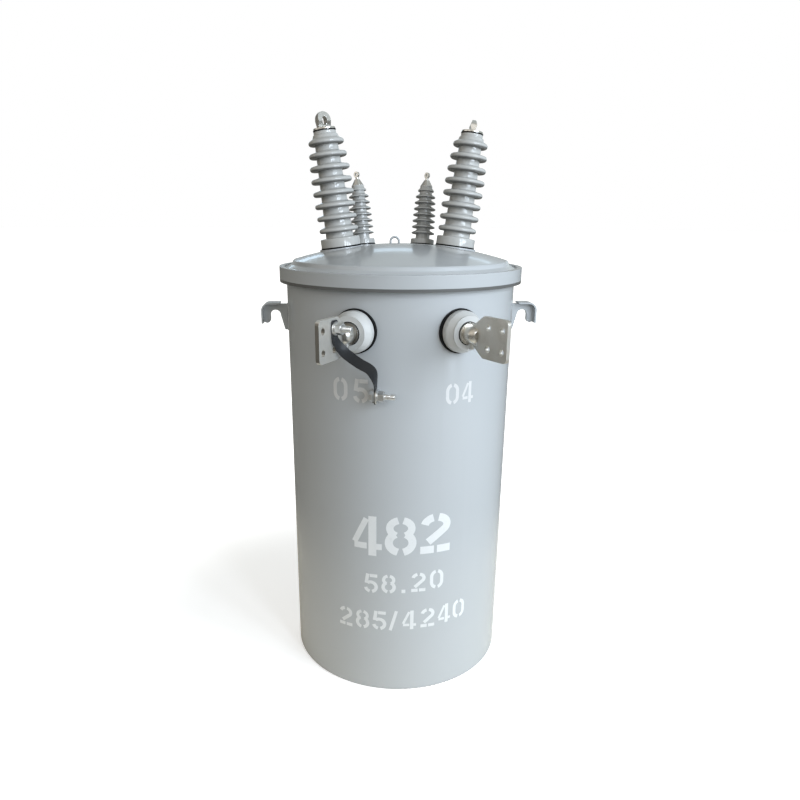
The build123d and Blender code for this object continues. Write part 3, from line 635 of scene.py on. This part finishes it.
def join_rings(built, rings):
    """Faces between neighbouring rings of vertices, and over an end that is no single point."""
    for here, ahead in zip(rings, rings[1:]):
        for k in range(max(len(here), len(ahead))):
            corners = [here[k % len(here)], here[(k + 1) % len(here)]]
            corners += [ahead[(k + 1) % len(ahead)], ahead[k % len(ahead)]]
            built.faces.new(list(dict.fromkeys(corners)))
    for end in (rings[0], rings[-1]):
        if len(end) > 1:
            built.faces.new(end)


def level_directions(angle):
    """Directions away from the tank's axis and along its wall."""
    turn = radians(angle)
    return Vector((sin(turn), -cos(turn), 0)), Vector((cos(turn), sin(turn), 0))


def arc(x, y, rx, ry, start, end, steps=14):
    """Points of an elliptic arc; angles in degrees from +x."""
    turns = [radians(start + (end - start) * step / steps) for step in range(steps + 1)]
    return [(x + rx * cos(turn), y + ry * sin(turn)) for turn in turns]


# ---------------------------------------------------------------- stencilled numbers
def digit_strokes(digit, w, s):
    """Strokes of a stencil digit one unit high and w wide, as middle lines with their widths.

    Strokes are about s wide, and bridges are left open between them.
    """
    h = s / 2
    cx = w / 2
    rx = cx - h
    low, high = h, 1 - h
    gap = 10 + 20 * s
    if digit == "0":
        bend = 0.36
        ry = bend - h
        left_half = arc(cx, 1 - bend, rx, ry, 90 + gap, 180) + arc(cx, bend, rx, ry, 180, 270 - gap)
        right_half = arc(cx, bend, rx, ry, 270 + gap, 360) + arc(cx, 1 - bend, rx, ry, 0, 90 - gap)
        return [(left_half, s), (right_half, s)]
    if digit == "2":
        ry = 0.29 - h
        bowl_y = high - ry
        top_left = arc(cx, bowl_y, rx, ry, 172, 90 + gap, 6)
        swoop = arc(cx, bowl_y, rx, ry, 90 - gap, -32, 12) + [(h + 0.12 * w, 1.55 * s)]
        foot_left = [(0, low), (cx - 0.2 * s, low)]
        foot_right = [(cx + 0.2 * s, low), (w, low)]
        return [(top_left, s), (swoop, s), (foot_left, s), (foot_right, s)]
    if digit == "4":
        stem_x = 0.7 * w
        bar_y = 0.24
        slant = [(stem_x - 0.75 * s, 0.93), (0.42 * s, 0.31)]
        bar = [(0.1 * w, bar_y), (stem_x - 0.72 * s, bar_y)]
        stem = [(stem_x, 0), (stem_x, 1)]
        spur = [(stem_x + h, bar_y), (w, bar_y)]
        return [(slant, 0.72 * s), (bar, 0.8 * s), (stem, s), (spur, 0.8 * s)]
    if digit == "5":
        bowl_y = 0.33
        ry = bowl_y - h
        bowl = arc(cx, bowl_y, rx, ry, 128, -90 + gap, 16)
        tail = arc(cx, bowl_y, rx, ry, -90 - gap, -168, 6)
        neck = [(0.16 * w + h, 1), (0.05 * w + h, 0.5)]
        flag = [(0.42 * w, high), (w - 0.03, high)]
        return [(flag, s), (neck, s), (bowl, s), (tail, s)]
    if digit == "8":
        top_rx, top_ry, low_ry = rx * 0.92, 0.25 - h / 2, 0.29 - h / 2
        top_y, low_y = high - top_ry, low + low_ry
        halves = []
        for side in (-1, 1):
            upper = arc(cx, top_y, side * top_rx, top_ry, 90 - gap, -64, 10)
            lower = arc(cx, low_y, side * rx, low_ry, 64, -90 + gap, 10)
            halves += [(upper, 0.92 * s), (lower, s)]
        return halves
    if digit == "/":
        return [([(0.16 * w, -0.02), (0.84 * w, 1.02)], 0.9 * s)]
    dot = 1.1 * s
    return [([(cx, 0), (cx, dot)], dot)]


def stroke_sides(points, width):
    """Left and right edges of a stroke along its middle line, with square ends."""
    lefts, rights = [], []
    for number, point in enumerate(points):
        before = Vector(points[max(number - 1, 0)])
        after = Vector(points[min(number + 1, len(points) - 1)])
        ahead = (after - before).normalized()
        across = Vector((-ahead.y, ahead.x)) * width / 2
        lefts.append(Vector(point) + across)
        rights.append(Vector(point) - across)
    return lefts, rights


def finer(points, longest):
    """The same line with no step longer than the given one."""
    result = [Vector(points[0])]
    for start, end in zip(points, points[1:]):
        start, end = Vector(start), Vector(end)
        steps = max(1, round((end - start).length / longest))
        result += [start.lerp(end, step / steps) for step in range(1, steps + 1)]
    return result


# Widths and strokes are shares of a digit's height.
small_style = {"wide": 0.68, "stroke": 0.165}
large_style = {"wide": 0.74, "stroke": 0.19}
narrow_signs = {".": 0.2, "/": 0.42}
longest_step = 0.045
paint_out = 0.22 * mm
paint_in = -0.3 * mm


def stencil_line(
    name, digits, angles, bottom, rise, height, style=small_style, paint=stencil_white
):
    """Digits sprayed on the tank's wall as a thin skin of paint, one above each given angle.

    Bottom is their lower edge at the front of the tank, and rise is how much it climbs a degree.
    """
    built = bmesh.new()
    for digit, angle in zip(digits, angles):
        width = narrow_signs.get(digit, style["wide"])
        base = bottom + rise * angle

        def on_tank(corner, depth):
            """Place on the tank of a corner of a stroke, drawn in the digit's own plane."""
            turn = radians(angle) + (corner[0] - width / 2) * height / tank_r
            reach = tank_r + depth
            return reach * sin(turn), -reach * cos(turn), base + corner[1] * height

        for points, thickness in digit_strokes(digit, width, style["stroke"]):
            rings = []
            for left, right in zip(*stroke_sides(finer(points, longest_step), thickness)):
                front = [(left, paint_out), (right, paint_out)]
                back = [(right, paint_in), (left, paint_in)]
                rings.append([built.verts.new(on_tank(*corner)) for corner in front + back])
            join_rings(built, rings)
    return built_piece(name, built, paint)


stencil_line(
    "stencil_large_number",
    "482",
    angles=(-19.5, -2.5, 15.0),
    bottom=389 * mm,
    rise=0.18 * mm,
    height=105 * mm,
    style=large_style,
)
stencil_line(
    "stencil_upper_line",
    "58.20",
    angles=(-17.2, -8.2, -0.8, 6.7, 16.2),
    bottom=286.5 * mm,
    rise=0.28 * mm,
    height=53 * mm,
)
stencil_line(
    "stencil_lower_line",
    "285/4240",
    angles=(-31.1, -21.7, -12.9, -5.7, 2.2, 11.9, 20.9, 29.9),
    bottom=181 * mm,
    rise=0.26 * mm,
    height=54 * mm,
)
stencil_line(
    "stencil_left_mark",
    "05",
    angles=(-32.3, -21.9),
    bottom=769 * mm,
    rise=0.0,
    height=56 * mm,
    paint=stencil_thin,
)
stencil_line(
    "stencil_right_mark",
    "04",
    angles=(21.3, 29.6),
    bottom=764 * mm,
    rise=0.0,
    height=50 * mm,
    paint=stencil_thin,
)

# ---------------------------------------------------------------- high-voltage porcelain
# In millimetres; levels are measured along the bushing's axis, up from its seat.
shed_radii = (48.5, 49.3, 49.8, 50.0, 50.0, 48.5, 46.0, 43.0)
first_shed = 43.5
shed_pitch = 28.8
shed_lip_r = 6.2
lip_start, lip_end = -96, 66  # degrees, from the shed's underside over its rim to its top
shed_fall = 4.0  # from the core down to the rim
head_fall = 12.0  # the same on the last shed
fall_bend = 0.3  # share of the fall half-way out
shed_hollow = 2.0  # under the shed
hollow_bend = 0.3  # share of the hollow past its middle
hollow_at = 0.55  # of the way out from the core
root_r = 3.0
top_root_r = 4.8
top_root_lift = 0.9
top_root_start = -118  # degrees
collar_r, collar_top, collar_round = 49.0, 24.5, 3.0
core_foot_r, core_head_r = 35.0, 27.0
spigot_r, spigot_depth = 24.0, 40.0
porcelain_foot, porcelain_head = 3.5, 270.5
head_round = 2.0
porcelain_sides = 72
porcelain_crease = radians(35)


def core_radius(level):
    """Radius of the tapered core between the sheds."""
    share = (level - porcelain_foot) / (porcelain_head - porcelain_foot)
    return core_foot_r + share * (core_head_r - core_foot_r)


def shed_profile(level, radius, fall):
    """Half outline of one shed, from the core below it to the core above it."""
    lip = radius - shed_lip_r
    under = level - shed_lip_r + shed_hollow
    under_r = core_radius(under)
    hollow_r = under_r + hollow_at * (lip - under_r)
    over = level + shed_lip_r + fall
    over_r = core_radius(over)
    return [
        *arc(under_r + root_r, under - root_r, root_r, root_r, 180, 90, 6),
        (hollow_r, under - hollow_bend * shed_hollow),
        *arc(lip, level, shed_lip_r, shed_lip_r, lip_start, lip_end, 16),
        ((over_r + lip) / 2, level + shed_lip_r + fall_bend * fall),
        *arc(
            over_r + top_root_r,
            over + top_root_lift,
            top_root_r,
            root_r,
            top_root_start,
            -180,
            6,
        ),
    ]


def porcelain_outline():
    """Half outline of the porcelain as (radius, level), from its spigot to its head."""
    round_r = collar_round
    foot_r = core_radius(collar_top)
    outline = [
        (0, -spigot_depth),
        (spigot_r, -spigot_depth),
        (spigot_r, porcelain_foot),
        (collar_r, porcelain_foot),
        *arc(collar_r - round_r, collar_top - round_r, round_r, round_r, 0, 90, 6),
        *arc(foot_r + root_r, collar_top + root_r, root_r, root_r, -90, -180, 6),
    ]
    for number, radius in enumerate(shed_radii):
        last = number == len(shed_radii) - 1
        level = first_shed + number * shed_pitch
        outline += shed_profile(level, radius, head_fall if last else shed_fall)
    round_r = head_round
    outline += arc(core_head_r - round_r, porcelain_head - round_r, round_r, round_r, 0, 90, 4)
    return outline + [(0, porcelain_head)]


def turned_porcelain(name, foot, axis):
    """Porcelain turned about the bushing's axis, a closed body."""
    across = axis.orthogonal().normalized()
    beside = axis.cross(across)
    built = bmesh.new()
    rings = []
    for radius, level in porcelain_outline():
        centre = foot + axis * level * mm
        ring = []
        for step in range(porcelain_sides if radius else 1):
            turn = radians(360) * step / porcelain_sides
            out = across * cos(turn) + beside * sin(turn)
            ring.append(built.verts.new(centre + out * radius * mm))
        rings.append(ring)
    join_rings(built, rings)
    return built_piece(name, built, glaze, crease=porcelain_crease)


for side in ("left", "right"):
    gasket_low, gasket_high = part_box(f"hv_gasket_{side}")
    seal_low, seal_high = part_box(f"hv_seal_{side}")
    gasket_middle = (gasket_low + gasket_high) / 2
    axis = ((seal_low + seal_high) / 2 - gasket_middle).normalized()
    foot = gasket_middle - axis * porcelain_foot / 2 * mm
    porcelain = turned_porcelain(f"hv_porcelain_{side}", foot, axis)
    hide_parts(f"hv_bushing_{side}")


# ---------------------------------------------------------------- weld beads and threads
def new_tree(name, sockets):
    """Geometry node tree with a geometry input and the given named inputs of (name, type)."""
    tree = bpy.data.node_groups.new(name, "GeometryNodeTree")
    inputs = [("Geometry", "Geometry"), *sockets]
    for socket_name, kind in inputs:
        tree.interface.new_socket(socket_name, in_out="INPUT", socket_type=f"NodeSocket{kind}")
    tree.interface.new_socket("Geometry", in_out="OUTPUT", socket_type="NodeSocketGeometry")
    entry = tree.nodes.new("NodeGroupInput")
    return tree, entry.outputs


def end_tree(tree, geometry, material):
    """Smooth faces, real instances and a material at the end of a tree."""
    smooth = add_node(tree, "GeometryNodeSetShadeSmooth", {"Geometry": geometry}).outputs[0]
    real = add_node(tree, "GeometryNodeRealizeInstances", {"Geometry": smooth}).outputs[0]
    inputs = {"Geometry": real, "Material": material}
    coated = add_node(tree, "GeometryNodeSetMaterial", inputs).outputs[0]
    result = tree.nodes.new("NodeGroupOutput")
    tree.links.new(coated, result.inputs["Geometry"])


def weld_bead_tree():
    """Round bead along the edges of a mesh, with the scales that each step of the torch leaves."""
    sockets = [
        ("Bead radius", "Float"),
        ("Step", "Float"),
        ("Scale depth", "Float"),
        ("Material", "Material"),
    ]
    tree, entry = new_tree("weld_bead", sockets)
    path = add_node(tree, "GeometryNodeMeshToCurve", {"Mesh": entry["Geometry"]}).outputs[0]
    quarter = calculate(tree, "DIVIDE", entry["Step"], 4.0)
    inputs = {"Curve": path, "Length": quarter}
    path = add_node(tree, "GeometryNodeResampleCurve", inputs, mode="LENGTH").outputs[0]
    along = add_node(tree, "GeometryNodeSplineParameter").outputs["Length"]
    phase = calculate(tree, "FRACT", calculate(tree, "DIVIDE", along, entry["Step"]))
    shrink = calculate(tree, "MULTIPLY", entry["Scale depth"], -1.0)
    size = calculate(tree, "MULTIPLY_ADD", phase, shrink, 1.0)
    inputs = {"Resolution": 10, "Radius": entry["Bead radius"]}
    ring = add_node(tree, "GeometryNodeCurvePrimitiveCircle", inputs).outputs[0]
    inputs = {"Curve": path, "Profile Curve": ring, "Scale": size, "Fill Caps": True}
    bead = add_node(tree, "GeometryNodeCurveToMesh", inputs).outputs[0]
    end_tree(tree, bead, entry["Material"])
    return tree


def thread_tree():
    """Rolled screw thread: one round ridge that climbs about +Z."""
    sockets = [
        ("Radius", "Float"),
        ("Pitch", "Float"),
        ("Length", "Float"),
        ("Ridge", "Float"),
        ("Material", "Material"),
    ]
    tree, entry = new_tree("screw_thread", sockets)
    turns = calculate(tree, "DIVIDE", entry["Length"], entry["Pitch"])
    inputs = {
        "Resolution": 28,
        "Rotations": turns,
        "Height": entry["Length"],
        "Start Radius": entry["Radius"],
        "End Radius": entry["Radius"],
    }
    helix = add_node(tree, "GeometryNodeCurveSpiral", inputs).outputs[0]
    inputs = {"Resolution": 6, "Radius": entry["Ridge"]}
    ring = add_node(tree, "GeometryNodeCurvePrimitiveCircle", inputs).outputs[0]
    inputs = {"Curve": helix, "Profile Curve": ring, "Fill Caps": True}
    ridge = add_node(tree, "GeometryNodeCurveToMesh", inputs).outputs[0]
    end_tree(tree, ridge, entry["Material"])
    return tree


def grown_mesh(name, start, tree, values):
    """Plain mesh that a tree makes from a starting mesh."""
    source = bpy.data.objects.new(name, start)
    bpy.context.scene.collection.objects.link(source)
    modifier = source.modifiers.new("grow", "NODES")
    modifier.node_group = tree
    items = [item for item in tree.interface.items_tree if item.in_out == "INPUT"]
    sockets = {item.name: item.identifier for item in items}
    for socket_name, value in values.items():
        modifier[sockets[socket_name]] = value
    bpy.context.view_layer.update()
    evaluated = source.evaluated_get(bpy.context.evaluated_depsgraph_get())
    mesh = bpy.data.meshes.new_from_object(evaluated)
    bpy.data.objects.remove(source)
    mesh.name = name
    return mesh


weld_bead = weld_bead_tree()
screw_thread = thread_tree()
torch_step = 2.6 * mm
scale_depth = 0.16  # share of the bead's radius
foot_bead = 2.8 * mm
tab_bead = 1.8 * mm
loop_bead = 1.3 * mm
seam_bead = 3.2 * mm


def weld(name, lines, radius, closed=True):
    """Weld bead along lines of points, which are loops unless closed is False."""
    start = bpy.data.meshes.new(name)
    points, edges = [], []
    for line in lines:
        first = len(points)
        points += line
        edges += [(first + k, first + k + 1) for k in range(len(line) - 1)]
        if closed:
            edges.append((len(points) - 1, first))
    start.from_pydata(points, edges, [])
    values = {
        "Bead radius": radius,
        "Step": torch_step,
        "Scale depth": scale_depth,
        "Material": enamel,
    }
    return mesh_piece(name, grown_mesh(name, start, weld_bead, values))


def on_wall(offset, height, angle):
    """Point of the tank's wall, offset sideways from an angle."""
    turn = radians(angle)
    reach = sqrt(tank_r**2 - offset**2)
    return (
        reach * sin(turn) + offset * cos(turn),
        -reach * cos(turn) + offset * sin(turn),
        height,
    )


def plate_foot(angle, left, right, low, high):
    """Outline of a plate's edge where it stands on the tank's wall."""
    corners = ((left, low), (right, low), (right, high), (left, high))
    return [on_wall(offset, height, angle) for offset, height in corners]


def loop_leg_foot(side):
    """Round the foot of one leg of the loop, on the cover's dome."""
    foot = []
    turned = radians(loop_turn)
    for degree in range(0, 360, 30):
        turn = radians(degree)
        across = side * loop_half + loop_wire_r * cos(turn)
        back = loop_back + loop_wire_r * sin(turn)
        height = apex - dome_sphere_r + sqrt(dome_sphere_r**2 - across**2 - back**2)
        x = back * sin(turned) + across * cos(turned)
        y = -back * cos(turned) + across * sin(turned)
        foot.append((x, y, height))
    return foot


def tank_seam():
    """Line of the tank's long seam, sunk so that a low bead shows, from its base to the band."""
    seam_angle = radians(163)
    end_gap = 3 * mm
    sunk = 2.2 * mm
    reach = tank_r - sunk
    x, y = reach * sin(seam_angle), -reach * cos(seam_angle)
    return [(x, y, base_top + end_gap), (x, y, band_bottom + end_gap)]


lug_foot = (-lug_t / 2, lug_t / 2, lug_low.z, lug_high.z - lug_strip_t)
weld("weld_lug_left", [plate_foot(-90, *lug_foot)], foot_bead)
weld("weld_lug_right", [plate_foot(90, *lug_foot)], foot_bead)
channel_feet = []
for low, high in support_boxes:
    for inner, outer in ((low.x + support_t, low.x), (high.x, high.x - support_t)):
        channel_feet.append(plate_foot(180, -inner, -outer, low.z, high.z))
weld("weld_support_lugs", channel_feet, foot_bead)
tab_foot = (-tab_t, 0.0, tab_z - tab_half_height, tab_z + tab_half_height)
weld("weld_ground_tab", [plate_foot(tab_angle, *tab_foot)], tab_bead)
weld("weld_crown_loop", [loop_leg_foot(-1), loop_leg_foot(1)], loop_bead)
weld("weld_tank_seam", [tank_seam()], seam_bead, closed=False)

# Where each thread begins on its bolt, and how long it is. The first two begin from the bolt's given
# point, and the last is measured back from the bolt's end.
ground_thread = (20.9 * mm, 23.8 * mm)
strap_thread = (25.4 * mm, 19.8 * mm)
band_thread = (6.2 * mm, 5.2 * mm)
thread_ridge = 0.5 * mm


def thread(name, start, direction, length):
    """Thread on a bolt, from a point on its axis."""
    values = {
        "Radius": bolt_r,
        "Pitch": thread_pitch,
        "Length": length,
        "Ridge": thread_ridge,
        "Material": zinc,
    }
    mesh = grown_mesh(name, bpy.data.meshes.new(name), screw_thread, values)
    turn = Vector(direction).to_track_quat("Z", "Y").to_matrix().to_4x4()
    mesh.transform(Matrix.Translation(start) @ turn)
    return mesh_piece(name, mesh)


out, along = level_directions(tab_angle)
begin, length = ground_thread
start = out * tab_bolt_at + along * begin + Vector((0, 0, tab_z))
thread("ground_bolt_thread", start, along, length)
out, along = level_directions(strap_bolt_angle)
begin, length = strap_thread
thread("strap_bolt_thread", strap_bolt_at + along * begin, along, length)
band_bolt_low, band_bolt_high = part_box("band_bolt")
band_bolt_axis = (band_bolt_low + band_bolt_high) / 2
begin, length = band_thread
start = Vector((band_bolt_high.x - begin, band_bolt_axis.y, band_bolt_axis.z))
thread("band_bolt_thread", start, (1, 0, 0), length)


def socket_screws():
    """Set screws under the terminals' necks, each with a hexagon socket in its lower end."""
    built = bmesh.new()
    sides = 36
    flat_at = 0.52 * screw_r  # from the axis to a flat of the hexagon
    chamfer = 0.6 * mm
    socket_depth = 5 * mm
    top, bottom = screws_high.z, screws_low.z

    def ring(centre, height, radius, hexagon=False):
        """Ring of vertices: a circle, or a hexagon whose flats lie on that circle."""
        row = []
        for step in range(sides):
            turn = radians(360) * step / sides
            reach = radius / cos((turn % radians(60)) - radians(30)) if hexagon else radius
            place = (centre.x + reach * cos(turn), centre.y + reach * sin(turn), height)
            row.append(built.verts.new(place))
        return row

    for angle in lv_angles:
        centre = level_directions(angle)[0] * screw_reach
        rings = [
            ring(centre, top, screw_r),
            ring(centre, bottom + chamfer, screw_r),
            ring(centre, bottom, screw_r - chamfer),
            ring(centre, bottom, flat_at, hexagon=True),
            ring(centre, bottom + socket_depth, flat_at, hexagon=True),
        ]
        join_rings(built, rings)
    screws = built_piece("socket_set_screws", built, zinc)
    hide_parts("lv_screws")


socket_screws()


# ---------------------------------------------------------------- camera, light and floor
def place_camera():
    """Camera before the tank, a little to its left and above its middle, for a square frame."""
    data = bpy.data.cameras.new("camera")
    data.lens = 30.3817
    data.shift_x = 0.01753
    data.shift_y = 0.04409
    data.clip_end = 100
    camera = bpy.data.objects.new("camera", data)
    camera.location = Vector((-129.3, -1749.2, 1177.5)) * mm
    camera.rotation_euler = Euler((radians(71.901), radians(-0.3), radians(-3.029)))
    bpy.context.scene.collection.objects.link(camera)
    bpy.context.scene.camera = camera


lamp_target = Vector((0.0, 0.0, 0.65))


def area_lamp(name, place, size, power, colour, aim=lamp_target, hidden_from=()):
    """Rectangular soft lamp that looks at a point, by default inside the tank."""
    data = bpy.data.lights.new(name, "AREA")
    data.shape = "RECTANGLE"
    data.size, data.size_y = size
    data.energy = power
    data.color = colour
    lamp = bpy.data.objects.new(name, data)
    lamp.location = place
    lamp.rotation_euler = (Vector(aim) - Vector(place)).to_track_quat("-Z", "Y").to_euler()
    for ray in hidden_from:
        setattr(lamp, f"visible_{ray}", False)
    bpy.context.scene.collection.objects.link(lamp)


def light_world():
    """Room that lights and mirrors: warm and bright at the front left, cool on the right.

    The rest of it is dark, and to the camera all of it is white.
    """
    shade = (0.13, 0.125, 0.115, 1)
    warm_front = (0.9, 0.85, 0.77, 1)
    cool_side = (0.34, 0.4, 0.41, 1)
    mirrored_glow = (0.26, 0.25, 0.24, 1)
    world = bpy.data.worlds.new("studio")
    bpy.context.scene.world = world
    world.use_nodes = True
    tree = world.node_tree
    background = tree.nodes["Background"]
    direction = add_node(tree, "ShaderNodeTexCoord").outputs["Generated"]

    def share_towards(side, low, high):
        """How far a direction of the room lies towards a side, eased to 0..1."""
        towards = dot_product(tree, direction, Vector(side).normalized())
        return ease(tree, towards, low, high)

    right = share_towards((0.86, 0.46, 0.2), -0.55, 0.8)
    front_left = share_towards((-0.6, -0.8, 0.15), -0.2, 0.8)
    room = blend_colours(tree, front_left, shade, warm_front)
    room = blend_colours(tree, right, room, cool_side)
    uneven = ease(tree, noise(tree, direction, 2.6, detail=3.0), 0.36, 0.62, 0.35, 1.2)
    room = scaled(tree, room, uneven)
    path = add_node(tree, "ShaderNodeLightPath").outputs
    mirrored = calculate(tree, "MULTIPLY", path["Is Glossy Ray"], right)
    room = blend_colours(tree, mirrored, room, mirrored_glow, "ADD")
    seen = calculate(tree, "MAXIMUM", path["Is Camera Ray"], path["Is Transmission Ray"])
    room = blend_colours(tree, seen, room, (1, 1, 1, 1))
    tree.links.new(room, background.inputs["Color"])
    background.inputs["Strength"].default_value = 1.0


def lay_floor():
    """Round pale floor that keeps the object's shadow and runs into the white behind it."""
    near_colour = (0.86, 0.8, 0.69, 1)
    far_colour = (0.3, 0.285, 0.26, 1)
    seen_colour = (0.86, 0.85, 0.84, 1)
    near_r, far_r = 0.6, 1.3
    disc = bmesh.new()
    bmesh.ops.create_circle(disc, cap_ends=True, segments=96, radius=60.0)
    mesh = bpy.data.meshes.new("floor")
    disc.to_mesh(mesh)
    disc.free()
    material, tree, shader = new_material("pale_floor")
    reach = length_of(tree, object_place(tree))
    colour = blend_colours(tree, ease(tree, reach, near_r, far_r), near_colour, far_colour)
    shader.inputs["Roughness"].default_value = 0.9
    seen = add_node(tree, "ShaderNodeLightPath").outputs["Is Camera Ray"]
    colour = blend_colours(tree, seen, colour, seen_colour)
    tree.links.new(colour, shader.inputs["Base Color"])
    lift = calculate(tree, "MULTIPLY", seen, ease(tree, reach, near_r, far_r, 0.45, 0.95))
    tree.links.new(lift, shader.inputs["Emission Strength"])
    shader.inputs["Emission Color"].default_value = (1, 1, 1, 1)
    mesh.materials.append(material)
    floor = bpy.data.objects.new("floor", mesh)
    bpy.context.scene.collection.objects.link(floor)


def hang_lamps():
    """Large soft lamps, a window of nine panes at the front right, and three windows behind."""
    day = (0.9, 0.95, 1.0)
    wall = (0.95, 0.97, 1.0)
    pane_blue = (0.78, 0.88, 1.0)
    back_blue = (0.62, 0.82, 1.0)
    unseen = ("glossy", "camera")
    area_lamp("side_window", (2.9, -1.6, 1.6), (2.0, 2.4), 58.0, day, hidden_from=("glossy",))
    area_lamp("back_wall", (0.2, 3.6, 1.7), (2.4, 2.2), 32.0, wall, hidden_from=unseen)

    window_middle = Vector((2.0, -2.5, 2.1))
    column_step = Vector((0.78, 0.62, 0.0)).normalized() * 0.76
    row_step = Vector((0, 0, 0.78))
    for column in (-1, 0, 1):
        for row in (-1, 0, 1):
            pane = window_middle + column_step * column + row_step * row
            aim = pane + (lamp_target - window_middle)
            area_lamp("window_pane", pane, (0.46, 0.5), 11.0, pane_blue, aim)

    for name, place, size, power in (
        ("back_window_left", (-0.98, 4.0, 2.0), (0.8, 0.36), 1.9),
        ("back_window_middle", (0.1, 4.1, 2.53), (0.8, 0.42), 1.5),
        ("back_window_right", (1.32, 4.0, 2.5), (0.3, 0.24), 0.3),
    ):
        area_lamp(name, place, size, power, back_blue, hidden_from=("camera",))


place_camera()
light_world()
lay_floor()
hang_lamps()

scene = bpy.context.scene
scene.view_settings.view_transform = "Standard"
